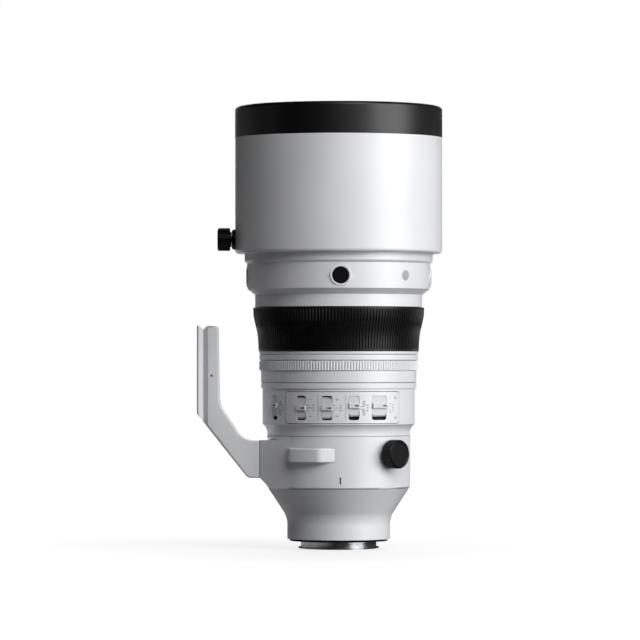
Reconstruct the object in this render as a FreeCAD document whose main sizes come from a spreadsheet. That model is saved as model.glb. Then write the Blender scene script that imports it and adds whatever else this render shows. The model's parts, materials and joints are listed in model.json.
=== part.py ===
import FreeCAD, Part
import math
import os

import Sketcher

# Telephoto lens, in millimetres.
# The origin is the centre of the mount's flange face. +Z runs along the optical axis to the front.
# The tripod foot points to -X and the switch panel faces -Y.
# An azimuth is counted round the axis from -Y towards +X, in degrees.

SIZES = {
    # Play between pieces
    "running_gap": 0.1,
    "seat_gap": 0.15,
    "side_gap": 0.3,
    # Bayonet mount
    "throat_inset": 8.5,
    "spigot_wall": 3.0,
    "spigot_depth": 4.8,
    "lug_reach": 1.5,
    "lug_thickness": 1.3,
    "lug_angle": 58.0,
    "face_width": 3.4,
    "face_relief": 0.3,
    "flange_radius": 29.3,
    "flange_thickness": 1.3,
    "gasket_width": 1.4,
    "register_inset": 2.5,
    "register_length": 2.2,
    "mount_screw_inset": 1.4,
    "mount_screw_head_radius": 1.15,
    "mount_screw_head_height": 0.8,
    "mount_screw_radius": 0.8,
    "mount_screw_length": 4.6,
    "mount_screw_azimuth": 45.0,
    "contact_block_wall": 2.9,
    "contact_block_angle": 104.0,
    "contact_block_depth": 3.2,
    "contact_pin_radius": 0.55,
    "contact_pin_length": 1.3,
    "contact_pitch_angle": 9.6,
    # Rear barrel
    "rear_lip": 1.6,
    "rear_cylinder_length": 13.4,
    "rear_taper_length": 18.6,
    "rear_front_rise": 3.6,
    "rear_wall": 2.2,
    "rear_waist_round": 14.0,
    "board_ledge": 4.0,
    "board_recess": 2.3,
    "board_thickness": 1.6,
    "collar_stop_length": 4.3,
    # Inner tube and tripod collar
    "inner_tube_radius": 41.0,
    "tube_wall": 2.5,
    "tube_socket_depth": 2.5,
    "collar_wall": 4.2,
    "collar_length": 32.7,
    "collar_chamfer": 0.8,
    "index_width": 0.9,
    "index_length": 4.3,
    "index_depth": 0.3,
    "index_height": 3.2,
    "boss_height": 4.5,
    "boss_rise": 6.3,
    "boss_slant": 6.3,
    "boss_flank_azimuth": 44.0,
    "knob_neck_inset": 1.5,
    # Strap bars
    "bar_angle": 38.0,
    "bar_start_angle": 6.0,
    "bar_height": 8.8,
    "bar_station": 16.6,
    "bar_reach": 5.1,
    "bar_thickness": 1.9,
    "bar_post_angle": 6.0,
    # Tripod foot
    "foot_width": 38.0,
    "foot_arm_reach": 10.7,
    "foot_arm_height": 23.9,
    "foot_plate_reach": 26.1,
    "foot_plate_thickness": 13.5,
    "foot_lean": 0.9,
    "foot_height": 95.7,
    "foot_inner_rise": 46.4,
    "foot_outer_rise": 40.5,
    "foot_heel_reach": 7.6,
    "foot_inner_round": 13.0,
    "foot_heel_round": 5.0,
    "foot_knee_round": 3.0,
    "foot_top_round": 2.0,
    "foot_edge_round": 1.3,
    "dovetail_lip": 1.1,
    "dovetail_width": 5.8,
    "dovetail_depth": 2.3,
    "socket_radius": 3.97,
    "small_socket_radius": 2.55,
    "socket_depth": 9.5,
    "socket_station": 17.6,
    "socket_pitch": 19.0,
    "dimple_radius": 0.7,
    "dimple_depth": 1.5,
    "dimple_station": 31.4,
    "dimple_inset": 9.3,
    "foot_screw_radius": 1.5,
    "foot_screw_head_radius": 2.6,
    "foot_screw_head_height": 2.2,
    "foot_screw_length": 9.5,
    "foot_screw_spread": 10.0,
    "foot_screw_low": 11.4,
    "foot_screw_pitch": 12.0,
    # Collar lock knob
    "knob_azimuth": 43.2,
    "knob_station": 21.7,
    "knob_radius": 9.0,
    "knob_head_length": 8.6,
    "knob_rise": 0.7,
    "knob_stem_radius": 2.5,
    "pad_radius": 6.0,
    "pad_thickness": 1.1,
    "pad_standoff": 0.25,
    "pad_travel": 1.2,
    "pad_play": 0.2,
    "stem_play": 0.1,
    # Switch barrel
    "tube_rise": 5.0,
    "neck_wall": 3.95,
    "neck_length": 4.65,
    "cove_length": 2.55,
    "cove_round": 7.5,
    "switch_wall": 2.1,
    "switch_length": 22.5,
    "shoulder_wall": 3.0,
    "shoulder_length": 3.4,
    "tube_step_length": 8.8,
    "tube_joint_length": 3.6,
    "panel_azimuth": 2.75,
    "panel_angle": 93.9,
    "panel_margin": 0.9,
    "panel_height": 19.5,
    "panel_sink": 0.6,
    "panel_thickness": 0.95,
    "panel_corner": 2.2,
    "panel_play": 0.2,
    "panel_play_angle": 0.2,
    "panel_screw_radius": 0.6,
    "panel_screw_head_radius": 1.1,
    "panel_screw_head_height": 0.45,
    "panel_screw_length": 1.1,
    "panel_screw_angle": 4.2,
    "panel_screw_inset": 3.5,
    # Slide switches
    "switch_pitch_angle": 20.2,
    "switch_station": 10.4,
    "slot_width": 6.9,
    "wide_slot_width": 10.6,
    "lone_slot_width": 6.0,
    "lone_slot_azimuth": -57.8,
    "slot_length": 15.1,
    "slot_corner": 1.4,
    "slider_play": 0.2,
    "slider_length": 12.0,
    "slider_throw": 1.4,
    "slider_sink": 0.35,
    "slider_flange": 0.7,
    "slider_flange_thickness": 0.6,
    "slider_ridge_rise": 1.3,
    "slider_ridge_length": 3.0,
    "slider_pocket_play": 0.3,
    # Control ring, spacer ring and focus ring
    "control_wall": 3.1,
    "control_knurl_wall": 4.2,
    "control_plain_length": 7.4,
    "control_knurl_length": 6.3,
    "spacer_wall": 3.95,
    "spacer_length": 3.45,
    "sleeve_wall": 4.0,
    "sleeve_lip_length": 1.75,
    "rubber_thickness": 1.8,
    "rubber_rear_reach": 0.5,
    "rubber_waist_reach": 1.0,
    "rubber_front_reach": 3.9,
    "rubber_waist_length": 10.5,
    "rubber_flare_length": 11.8,
    "rubber_front_length": 5.4,
    "rubber_round": 16.0,
    # Front barrel
    "neck_ring_wall": 6.65,
    "neck_ring_length": 7.6,
    "flare_length": 3.7,
    "band_wall": 3.4,
    "band_swell": 0.35,
    "band_length": 16.0,
    "cell_rise": 8.0,
    "cell_seat_station": 11.7,
    "front_wall": 1.85,
    "seat_ring_wall": 3.3,
    "seat_ring_chamfer": 1.4,
    "seat_ring_length": 22.2,
    "front_face_length": 4.0,
    "thread_inset": 2.0,
    "thread_length": 4.8,
    "clear_inset": 4.0,
    "retainer_length": 1.6,
    # Custom buttons and the blanking cap
    "button_station": 7.9,
    "button_radius": 5.25,
    "button_play": 0.15,
    "button_flange": 0.6,
    "button_flange_thickness": 1.1,
    "button_rise": 0.85,
    "button_edge": 0.4,
    "button_seat": 2.05,
    "rim_width": 1.6,
    "rim_rise": 0.55,
    "rim_edge": 0.5,
    "rim_root": 1.0,
    "cap_radius": 3.15,
    "cap_depth": 1.1,
    "cap_azimuth": 45.0,
    # Lens hood
    "hood_seat_wall": 5.8,
    "hood_length": 93.0,
    "hood_cover_length": 15.8,
    "hood_wall": 3.0,
    "hood_seat_length": 16.3,
    "hood_rear_round": 2.0,
    "hood_front_round": 2.2,
    "hood_band_length": 19.9,
    "hood_band_thickness": 1.3,
    "hood_band_proud": 0.1,
    "hood_rim_thickness": 1.6,
    "liner_thickness": 0.9,
    "liner_start": 18.8,
    "hood_boss_radius": 6.55,
    "hood_boss_rise": 2.2,
    "hood_boss_chamfer": 0.8,
    "hood_knob_station": 9.0,
    "hood_knob_neck_radius": 4.75,
    "hood_knob_neck_length": 0.8,
    "hood_knob_radius": 7.25,
    "hood_knob_length": 8.1,
    "hood_stem_radius": 2.2,
    "hood_pad_radius": 4.8,
    "hood_pad_thickness": 1.4,
    "hood_pad_travel": 0.8,
    "knob_edge": 0.6,
    # Front glass
    "first_inset": 3.5,
    "first_station": 16.5,
    "first_rim": 7.6,
    "first_front_curve": 130.0,
    "first_rear_curve": 300.0,
    "element_land": 2.1,
    "land_width": 2.5,
    "second_inset": 6.5,
    "second_station": 4.5,
    "second_rim": 4.0,
    "second_front_curve": 110.0,
    "third_inset": 2.85,
    "third_land_width": 4.2,
    "third_rim": 4.9,
    "third_rear_curve": 250.0,
    "cell_nose_length": 3.7,
    "glass_play": 0.1,
    # Focus group
    "rod_inset": 4.0,
    "rod_radius": 1.5,
    "rod_play": 0.05,
    "focus_standoff": 0.6,
    "focus_cell_length": 12.0,
    "focus_cell_play": 1.0,
    "focus_wall": 7.0,
    "focus_rim": 4.5,
    "focus_curve": 160.0,
    "focus_land": 2.0,
    "rod_web_station": 103.0,
    "rod_web_thickness": 2.2,
    "rod_web_width": 7.5,
    # Iris
    "iris_floor": 1.2,
    "blade_width": 8.2,
    "iris_rim_wall": 1.4,
    "iris_pivot_inset": 3.45,
    "iris_arm": 5.0,
    "iris_arm_angle": 16.0,
    "iris_lug_inset": 0.75,
    "iris_lug_start_angle": 2.2,
    "iris_lug_angle": 12.5,
    "iris_pin_radius": 0.7,
    "iris_pin_play": 0.05,
    "iris_peg_radius": 0.6,
    "iris_slot_play": 0.15,
    "blade_thickness": 0.2,
    "blade_pitch": 0.45,
    "blade_inset": 3.1,
    "blade_angle": 102.0,
    "blade_turn_angle": 32.0,
    "iris_ring_turn_angle": 26.0,
    "iris_ring_thickness": 1.2,
    "iris_ring_width": 7.4,
    # Stabiliser
    "stabiliser_standoff": 0.3,
    "stabiliser_floor": 2.5,
    "stabiliser_bore_rise": 4.0,
    "stabiliser_rim_wall": 1.8,
    "stabiliser_height": 12.6,
    "stabiliser_frame_inset": 3.55,
    "stabiliser_frame_thickness": 2.0,
    "stabiliser_cell_inset": 2.0,
    "stabiliser_cell_length": 6.4,
    "stabiliser_cell_wall": 14.0,
    "stabiliser_lens_rim": 3.6,
    "stabiliser_land": 1.2,
    "stabiliser_curve": 190.0,
    "layer_gap": 0.3,
    # Rear glass
    "rear_cell_flange": 4.5,
    "rear_cell_inset": 3.3,
    "rear_cell_length": 54.5,
    "rear_lens_inset": 6.3,
    "rear_lens_rim": 4.2,
    "rear_lens_curve": 48.0,
    "rear_land": 2.0,
    "rear_lens_depth": 2.3,
    "rear_tube_wall": 3.5,
    "rear_tube_taper": 2.0,
    "field_lens_inset": 2.5,
    "field_lens_rim": 7.0,
    "field_lens_curve": 95.0,
    "field_lens_depth": 5.0,
}

BUTTON_AZIMUTHS = {"button_front": 0, "button_right": 90, "button_back": 180, "button_left": 270}
MOUNT_SCREWS = 4
LUGS = 3
CONTACTS = 10
BLADES = 7
PANEL_SWITCHES = 4

FULL_TURN = 360
QUARTER_TURN = 90
HALF_TURN = 180
# A cutting tool starts this far outside the piece that it cuts
OVERCUT = 1.0
# Two lengths closer than this count as the same
SAME = 1e-4

document = FreeCAD.newDocument("telephoto_lens")
sheet = document.addObject("Spreadsheet::Sheet", "Sizes")


class Size:
    """A size that knows its value now and its formula in the sheet."""

    def __init__(self, value, formula):
        self.value = value
        self.formula = formula

    def __add__(self, other):
        other = as_size(other)
        return Size(self.value + other.value, f"({self.formula} + {other.formula})")

    def __sub__(self, other):
        other = as_size(other)
        return Size(self.value - other.value, f"({self.formula} - {other.formula})")

    def __mul__(self, factor):
        factor = as_size(factor)
        return Size(self.value * factor.value, f"({self.formula} * {factor.formula})")

    def __neg__(self):
        return Size(-self.value, f"(0 - {self.formula})")


def as_size(number):
    if isinstance(number, Size):
        return number
    return Size(float(number), f"({float(number)})")


class Sheet:
    """The named sizes, each read as an attribute."""


size = Sheet()
for row, (name, value) in enumerate(SIZES.items(), start=1):
    sheet.set(f"A{row}", name)
    sheet.set(f"B{row}", str(value))
    sheet.setAlias(f"B{row}", name)
    setattr(size, name, Size(value, f"Sizes.{name}"))
document.recompute()

ZERO = Size(0.0, "0")
subparts = []


def bind(item, name, amount):
    """Ties one property of an object to a size."""
    item.setExpression(name, as_size(amount).formula)


def keep(item, label):
    """Names a finished sub-part and keeps it for export."""
    item.Label = label
    subparts.append(item)
    return item


def body_plane(body, role):
    for feature in body.Origin.OriginFeatures:
        if feature.Role == role:
            return feature


def outline_sketch(body, role, points):
    """A closed outline of straight lines on one plane of a body. Each corner is held by two sizes."""
    sketch = body.newObject("Sketcher::SketchObject", "Outline")
    sketch.AttachmentSupport = [(body_plane(body, role), "")]
    sketch.MapMode = "FlatFace"
    count = len(points)
    corners = [FreeCAD.Vector(as_size(a).value, as_size(b).value, 0) for a, b in points]
    for i in range(count):
        sketch.addGeometry(Part.LineSegment(corners[i], corners[(i + 1) % count]))
    for i in range(count):
        sketch.addConstraint(Sketcher.Constraint("Coincident", i, 2, (i + 1) % count, 1))
    for i, pair in enumerate(points):
        for kind, amount in zip(("DistanceX", "DistanceY"), pair):
            amount = as_size(amount)
            index = sketch.addConstraint(Sketcher.Constraint(kind, -1, 1, i, 1, amount.value))
            sketch.renameConstraint(index, f"{kind}_{i}")
            sketch.setExpression(f"Constraints.{kind}_{i}", amount.formula)
    return sketch


def turned_body(points, rounds=()):
    """A body turned on the Z axis from (radius, height) corners. rounds holds (radius, height, round)."""
    body = document.addObject("PartDesign::Body", "Turned")
    sketch = outline_sketch(body, "XZ_Plane", points)
    turning = body.newObject("PartDesign::Revolution", "Turning")
    turning.Profile = sketch
    turning.ReferenceAxis = (sketch, ["V_Axis"])
    turning.Angle = FULL_TURN
    document.recompute()
    feature = turning
    for radius, height, amount in rounds:
        edges = circle_names(feature.Shape, as_size(radius).value, as_size(height).value)
        fillet = body.newObject("PartDesign::Fillet", "Rounding")
        fillet.Base = (feature, edges)
        bind(fillet, "Radius", amount)
        document.recompute()
        feature = fillet
    return body


def circle_names(shape, radius, height):
    """The names of the circular edges with one radius at one height."""
    names = []
    for i, edge in enumerate(shape.Edges, start=1):
        curve = edge.Curve
        if not isinstance(curve, Part.Circle):
            continue
        if abs(curve.Radius - radius) < SAME and abs(curve.Center.z - height) < SAME:
            names.append(f"Edge{i}")
    return names


def prism_body(role, points, length):
    """A straight-sided outline on one plane, drawn out evenly to both sides."""
    body = document.addObject("PartDesign::Body", "Prism")
    sketch = outline_sketch(body, role, points)
    pad = body.newObject("PartDesign::Pad", "Thickness")
    pad.Profile = sketch
    pad.SideType = "Symmetric"
    bind(pad, "Length", length)
    return body


def cylinder(radius, low, high):
    item = document.addObject("Part::Cylinder", "Cylinder")
    bind(item, "Radius", radius)
    bind(item, "Height", as_size(high) - low)
    bind(item, "Placement.Base.z", low)
    return item


def tube_sector(inner, outer, low, high, start, span):
    """Part of a ring, from one azimuth through a span."""
    wedge = cylinder(outer, low, high)
    bind(wedge, "Angle", span)
    bore = cylinder(inner, low - OVERCUT, high + OVERCUT)
    turn_about_axis(wedge, as_size(start) - QUARTER_TURN)
    return cut(wedge, [bore])


def turn_about_axis(item, angle):
    """Turns an object that stands on the Z axis."""
    item.Placement.Rotation = FreeCAD.Rotation(FreeCAD.Vector(0, 0, 1), 0)
    bind(item, "Placement.Rotation.Angle", angle)


def radial_direction(azimuth):
    angle = math.radians(as_size(azimuth).value)
    return FreeCAD.Vector(math.sin(angle), -math.cos(angle), 0)


def radial_rotation(azimuth):
    """The turn that carries +Z to the radial direction at an azimuth."""
    tip = FreeCAD.Rotation(FreeCAD.Vector(1, 0, 0), QUARTER_TURN)
    turn = FreeCAD.Rotation(FreeCAD.Vector(0, 0, 1), as_size(azimuth).value)
    return turn.multiply(tip)


def point_radially(item, azimuth, height):
    """Lays an object that was turned on the Z axis along a radius of the lens."""
    item.Placement = FreeCAD.Placement(FreeCAD.Vector(0, 0, 0), radial_rotation(azimuth))
    bind(item, "Placement.Base.z", height)
    return item


def radial_cylinder(radius, near, far, azimuth, height):
    """A round bar along a radius of the lens, between two distances from the optical axis."""
    item = document.addObject("Part::Cylinder", "RadialCylinder")
    bind(item, "Radius", radius)
    bind(item, "Height", as_size(far) - near)
    item.Placement.Rotation = radial_rotation(azimuth)
    direction = radial_direction(azimuth)
    bind(item, "Placement.Base.x", as_size(near) * direction.x)
    bind(item, "Placement.Base.y", as_size(near) * direction.y)
    bind(item, "Placement.Base.z", height)
    return item


def radial_box(width, near, far, low, high, azimuth, corner=None):
    """A block square to a radius of the lens. corner rounds its four edges along that radius."""
    item = document.addObject("Part::Box", "RadialBox")
    bind(item, "Length", width)
    bind(item, "Width", as_size(far) - near)
    bind(item, "Height", as_size(high) - low)
    angle = as_size(azimuth).value
    item.Placement.Rotation = FreeCAD.Rotation(FreeCAD.Vector(0, 0, 1), angle)
    direction = radial_direction(azimuth)
    half = as_size(width) * 0.5
    bind(item, "Placement.Base.x", as_size(far) * direction.x + half * direction.y)
    bind(item, "Placement.Base.y", as_size(far) * direction.y - half * direction.x)
    bind(item, "Placement.Base.z", low)
    if corner is None:
        return item
    document.recompute()
    return round_edges(item, lambda edge: runs_along(edge, direction), corner)


def runs_along(edge, direction):
    """Whether an edge is straight and parallel to a direction."""
    if not isinstance(edge.Curve, (Part.Line, Part.LineSegment)):
        return False
    return edge.tangentAt(edge.FirstParameter).cross(direction).Length < SAME


def round_edges(item, wanted, amount):
    """Rounds the edges of an object for which a test holds."""
    rounding = document.addObject("Part::Fillet", "Rounded")
    rounding.Base = item
    radius = as_size(amount).value
    chosen = [i for i, edge in enumerate(item.Shape.Edges, start=1) if wanted(edge)]
    rounding.Edges = [(i, radius, radius) for i in chosen]
    document.recompute()
    return rounding


def fuse(items):
    if len(items) == 1:
        return items[0]
    union = document.addObject("Part::MultiFuse", "Union")
    union.Shapes = items
    union.Refine = True
    return union


def cut(base, tools):
    result = document.addObject("Part::Cut", "Cut")
    result.Base = base
    result.Tool = fuse(tools)
    result.Refine = True
    return result


def common(base, tool):
    result = document.addObject("Part::Common", "Common")
    result.Base = base
    result.Tool = tool
    return result


def group(items):
    """Several like pieces that stay separate solids."""
    compound = document.addObject("Part::Compound", "Group")
    compound.Links = items
    return compound


def ball(radius, height):
    """The sphere that a lens surface is ground to."""
    sphere = document.addObject("Part::Sphere", "Ball")
    bind(sphere, "Radius", radius)
    bind(sphere, "Placement.Base.z", height)
    return sphere


def domed_front(blank, curve, vertex):
    return common(blank, ball(curve, as_size(vertex) - curve))


def domed_rear(blank, curve, vertex):
    return common(blank, ball(curve, as_size(vertex) + curve))


def hollow_rear(blank, curve, vertex):
    return cut(blank, [ball(curve, as_size(vertex) - curve)])


def hollow_front(blank, curve, vertex):
    return cut(blank, [ball(curve, as_size(vertex) + curve)])


# Heights along the optical axis
GASKET_FRONT = size.flange_thickness
REAR_WAIST = GASKET_FRONT + size.rear_cylinder_length
REAR_FRONT = REAR_WAIST + size.rear_taper_length
COLLAR_REAR = REAR_FRONT + size.side_gap
COLLAR_FRONT = COLLAR_REAR + size.collar_length
SWITCH_REAR = COLLAR_FRONT + size.side_gap
COVE_REAR = SWITCH_REAR + size.neck_length
COVE_FRONT = COVE_REAR + size.cove_length
SWITCH_FRONT = COVE_FRONT + size.switch_length
SHOULDER_FRONT = SWITCH_FRONT + size.shoulder_length
CONTROL_REAR = SHOULDER_FRONT + size.side_gap
CONTROL_STEP = CONTROL_REAR + size.control_plain_length
CONTROL_FRONT = CONTROL_STEP + size.control_knurl_length
SPACER_REAR = CONTROL_FRONT + size.side_gap
SPACER_FRONT = SPACER_REAR + size.spacer_length
SLEEVE_REAR = SPACER_FRONT + size.side_gap
RUBBER_REAR = SLEEVE_REAR + size.sleeve_lip_length
RUBBER_WAIST = RUBBER_REAR + size.rubber_waist_length
RUBBER_FLARE = RUBBER_WAIST + size.rubber_flare_length
SLEEVE_FRONT = RUBBER_FLARE + size.rubber_front_length
NECK_REAR = SLEEVE_FRONT + size.side_gap
NECK_FRONT = NECK_REAR + size.neck_ring_length
BAND_REAR = NECK_FRONT + size.flare_length
BAND_FRONT = BAND_REAR + size.band_length
SEAT_FRONT = BAND_FRONT + size.seat_ring_length
LENS_FRONT = SEAT_FRONT + size.front_face_length
THREAD_REAR = LENS_FRONT - size.thread_length
RETAINER_REAR = THREAD_REAR - size.retainer_length
CELL_SEAT = NECK_REAR + size.cell_seat_station
HOOD_REAR = SEAT_FRONT - size.hood_cover_length
HOOD_FRONT = HOOD_REAR + size.hood_length

# Radii of the rear end, from the flange inwards
THROAT_RADIUS = size.flange_radius - size.throat_inset
FACE_INNER = size.flange_radius - size.face_width
REGISTER_RADIUS = size.flange_radius - size.register_inset
SCREW_CIRCLE = size.flange_radius - size.mount_screw_inset
REAR_CELL_RADIUS = REGISTER_RADIUS - size.rear_cell_inset
REAR_LENS_RADIUS = REAR_CELL_RADIUS - size.rear_lens_inset
FIELD_LENS_RADIUS = REAR_CELL_RADIUS - size.field_lens_inset

# Radii that nest from the inner tube outwards
FRONT_TUBE_RADIUS = size.inner_tube_radius + size.tube_rise
CELL_RADIUS = FRONT_TUBE_RADIUS + size.cell_rise
THREAD_RADIUS = CELL_RADIUS - size.thread_inset
CLEAR_RADIUS = CELL_RADIUS - size.clear_inset
REGISTER_BORE = REGISTER_RADIUS + size.seat_gap
REAR_RADIUS = size.flange_radius + size.gasket_width + size.rear_lip + size.seat_gap
COLLAR_BORE = size.inner_tube_radius + size.running_gap
COLLAR_RADIUS = COLLAR_BORE + size.collar_wall
TUBE_BORE = FRONT_TUBE_RADIUS - size.tube_wall
TUBE_SEAT = FRONT_TUBE_RADIUS + size.seat_gap
RING_BORE = FRONT_TUBE_RADIUS + size.running_gap
NECK_RADIUS = size.inner_tube_radius + size.seat_gap + size.neck_wall
SWITCH_RADIUS = FRONT_TUBE_RADIUS + size.switch_wall
SLEEVE_RADIUS = RING_BORE + size.sleeve_wall
CELL_BORE = CELL_RADIUS + size.seat_gap
BAND_RADIUS = CELL_BORE + size.band_wall
BAND_FRONT_RADIUS = BAND_RADIUS + size.band_swell
FRONT_RADIUS = CELL_BORE + size.front_wall
SEAT_RING_RADIUS = FRONT_RADIUS + size.seat_gap + size.seat_ring_wall
HOOD_BORE = SEAT_RING_RADIUS + size.seat_gap
HOOD_RADIUS = HOOD_BORE + size.hood_seat_wall
SPIGOT_RADIUS = THROAT_RADIUS + size.spigot_wall
JOINT_REACH = COLLAR_RADIUS + size.boss_height

# Radii of what moves inside the front tube
ROD_CIRCLE = TUBE_BORE - size.rod_inset
FOCUS_RADIUS = ROD_CIRCLE - size.focus_wall
FOCUS_CELL_RADIUS = TUBE_BORE - size.focus_cell_play
IRIS_OUTER = TUBE_BORE - size.seat_gap
IRIS_RIM = IRIS_OUTER - size.iris_rim_wall
PIVOT_CIRCLE = IRIS_RIM - size.iris_pivot_inset
BLADE_OUTER = PIVOT_CIRCLE - size.blade_inset
IRIS_OPEN = BLADE_OUTER - size.blade_width
STABILISER_OUTER = TUBE_BORE - size.seat_gap
STABILISER_RIM = STABILISER_OUTER - size.stabiliser_rim_wall
STABILISER_FRAME = STABILISER_RIM - size.stabiliser_frame_inset
STABILISER_CELL = STABILISER_FRAME - size.stabiliser_cell_inset
STABILISER_LENS = STABILISER_CELL - size.stabiliser_cell_wall
STABILISER_BORE = STABILISER_LENS + size.stabiliser_bore_rise


# Bayonet mount
def screw_holes(radius, low, high, play):
    """Holes for the four mount screws, or the screws' own shanks where play is nought."""
    holes = []
    for i in range(MOUNT_SCREWS):
        azimuth = SIZES["mount_screw_azimuth"] + i * FULL_TURN / MOUNT_SCREWS
        direction = radial_direction(azimuth)
        hole = cylinder(as_size(radius) + play, low, high)
        bind(hole, "Placement.Base.x", SCREW_CIRCLE * direction.x)
        bind(hole, "Placement.Base.y", SCREW_CIRCLE * direction.y)
        holes.append(hole)
    return holes


def make_mount():
    plate = turned_body([
        (THROAT_RADIUS, -size.spigot_depth),
        (SPIGOT_RADIUS, -size.spigot_depth),
        (SPIGOT_RADIUS, size.face_relief),
        (FACE_INNER, size.face_relief),
        (FACE_INNER, ZERO),
        (size.flange_radius, ZERO),
        (size.flange_radius, size.flange_thickness),
        (REGISTER_RADIUS, size.flange_thickness),
        (REGISTER_RADIUS, size.flange_thickness + size.register_length),
        (THROAT_RADIUS, size.flange_thickness + size.register_length),
    ])
    lugs = []
    for i in range(LUGS):
        start = as_size(i * FULL_TURN / LUGS) - size.lug_angle * 0.5
        lugs.append(tube_sector(
            SPIGOT_RADIUS - OVERCUT, SPIGOT_RADIUS + size.lug_reach, -size.spigot_depth,
            size.lug_thickness - size.spigot_depth, start, size.lug_angle))
    whole = fuse([plate] + lugs)
    head_holes = screw_holes(
        size.mount_screw_head_radius, -OVERCUT, size.mount_screw_head_height, size.seat_gap)
    shank_holes = screw_holes(size.mount_screw_radius, ZERO, size.mount_screw_length, size.seat_gap)
    keep(cut(whole, head_holes + shank_holes), "mount_plate")

    head_depth = size.mount_screw_head_height
    heads = screw_holes(size.mount_screw_head_radius, size.running_gap, head_depth, ZERO)
    shanks = screw_holes(size.mount_screw_radius, head_depth - size.running_gap, size.mount_screw_length, ZERO)
    keep(group([fuse(list(pair)) for pair in zip(heads, shanks)]), "mount_screws")

    keep(turned_body([
        (size.flange_radius + size.seat_gap, ZERO),
        (size.flange_radius + size.seat_gap + size.gasket_width, ZERO),
        (size.flange_radius + size.seat_gap + size.gasket_width, size.flange_thickness),
        (size.flange_radius + size.seat_gap, size.flange_thickness),
    ]), "mount_gasket")


def contact_cylinders(radius, low, high):
    """The contacts or their holes, evenly spaced about the foot's side."""
    middle = THROAT_RADIUS - size.seat_gap - size.contact_block_wall * 0.5
    items = []
    for i in range(CONTACTS):
        azimuth = (i - (CONTACTS - 1) / 2) * SIZES["contact_pitch_angle"] - QUARTER_TURN
        direction = radial_direction(azimuth)
        item = cylinder(radius, low, high)
        bind(item, "Placement.Base.x", middle * direction.x)
        bind(item, "Placement.Base.y", middle * direction.y)
        items.append(item)
    return items


def make_contacts():
    outer = THROAT_RADIUS - size.seat_gap
    inner = outer - size.contact_block_wall
    start = as_size(-QUARTER_TURN) - size.contact_block_angle * 0.5
    rear = -size.contact_block_depth
    front = size.flange_thickness + size.register_length
    pin_front = rear + size.contact_pin_length
    block = tube_sector(inner, outer, rear, front, start, size.contact_block_angle)
    holes = contact_cylinders(size.contact_pin_radius + size.rod_play, rear - OVERCUT, pin_front)
    keep(cut(block, holes), "contact_block")
    pins = contact_cylinders(size.contact_pin_radius, rear - size.running_gap, pin_front)
    keep(group(pins), "contact_pins")


# Rear barrel and the tubes inside it
def make_rear_barrel():
    board_front = REAR_WAIST + size.board_recess
    ledge_radius = REGISTER_BORE + size.board_ledge
    socket_rear = REAR_FRONT - size.tube_socket_depth
    socket_radius = size.inner_tube_radius + size.seat_gap
    stop_rear = REAR_FRONT - size.collar_stop_length
    stop_radius = size.inner_tube_radius - size.tube_wall
    barrel = turned_body([
        (REGISTER_BORE, GASKET_FRONT),
        (REAR_RADIUS, GASKET_FRONT),
        (REAR_RADIUS, REAR_WAIST),
        ((size.inner_tube_radius + size.rear_front_rise), REAR_FRONT),
        (socket_radius, REAR_FRONT),
        (socket_radius, socket_rear),
        (stop_radius, socket_rear),
        (stop_radius - size.rear_wall, stop_rear - size.rear_wall),
        (ledge_radius, board_front),
        (ledge_radius, REAR_WAIST),
        (REGISTER_BORE, REAR_WAIST),
    ], rounds=[(REAR_RADIUS, REAR_WAIST, size.rear_waist_round)])
    holes = screw_holes(size.mount_screw_radius, ZERO, size.mount_screw_length + size.side_gap, size.rod_play)
    keep(cut(barrel, holes), "rear_barrel")

    keep(turned_body([
        (REAR_CELL_RADIUS + size.side_gap, REAR_WAIST),
        (ledge_radius - size.side_gap, REAR_WAIST),
        (ledge_radius - size.side_gap, REAR_WAIST + size.board_thickness),
        (REAR_CELL_RADIUS + size.side_gap, REAR_WAIST + size.board_thickness),
    ]), "main_board")


def make_tubes():
    inner_bore = size.inner_tube_radius - size.tube_wall
    rear = REAR_FRONT - size.tube_socket_depth
    step = SWITCH_REAR + size.tube_step_length
    front = step + size.tube_joint_length
    keep(turned_body([
        (inner_bore, rear),
        (size.inner_tube_radius, rear),
        (size.inner_tube_radius, step),
        (TUBE_BORE - size.seat_gap, step),
        (TUBE_BORE - size.seat_gap, front),
        (inner_bore, front),
    ]), "inner_tube")

    web_inner = ROD_CIRCLE - size.rod_web_width * 0.5
    web_front = size.rod_web_station + size.rod_web_thickness
    keep(turned_body([
        (TUBE_BORE, step),
        (FRONT_TUBE_RADIUS, step),
        (FRONT_TUBE_RADIUS, NECK_FRONT),
        (TUBE_BORE, NECK_FRONT),
        (TUBE_BORE, web_front),
        (web_inner, web_front),
        (web_inner, size.rod_web_station),
        (TUBE_BORE, size.rod_web_station),
    ]), "front_tube")


# Clamp knobs: each turns a stem that draws a round shoe into its pocket
def clamp_cutters(azimuth, height, pad_near, pad_radius, pad_thickness, travel, stem_radius, far):
    """The shoe's pocket and the stem's hole."""
    pocket_far = pad_near + pad_thickness + travel + size.pad_play
    pocket = radial_cylinder(
        as_size(pad_radius) + size.pad_play, pad_near - size.pad_radius, pocket_far, azimuth, height)
    hole = radial_cylinder(as_size(stem_radius) + size.stem_play, pad_near, far, azimuth, height)
    return [pocket, hole]


def clamp_pad(azimuth, height, near, radius, thickness, stem_radius):
    hole = as_size(stem_radius) + size.stem_play
    pad = turned_body([
        (hole, near),
        (radius, near),
        (radius, near + thickness),
        (hole, near + thickness),
    ])
    return point_radially(pad, azimuth, height)


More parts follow.
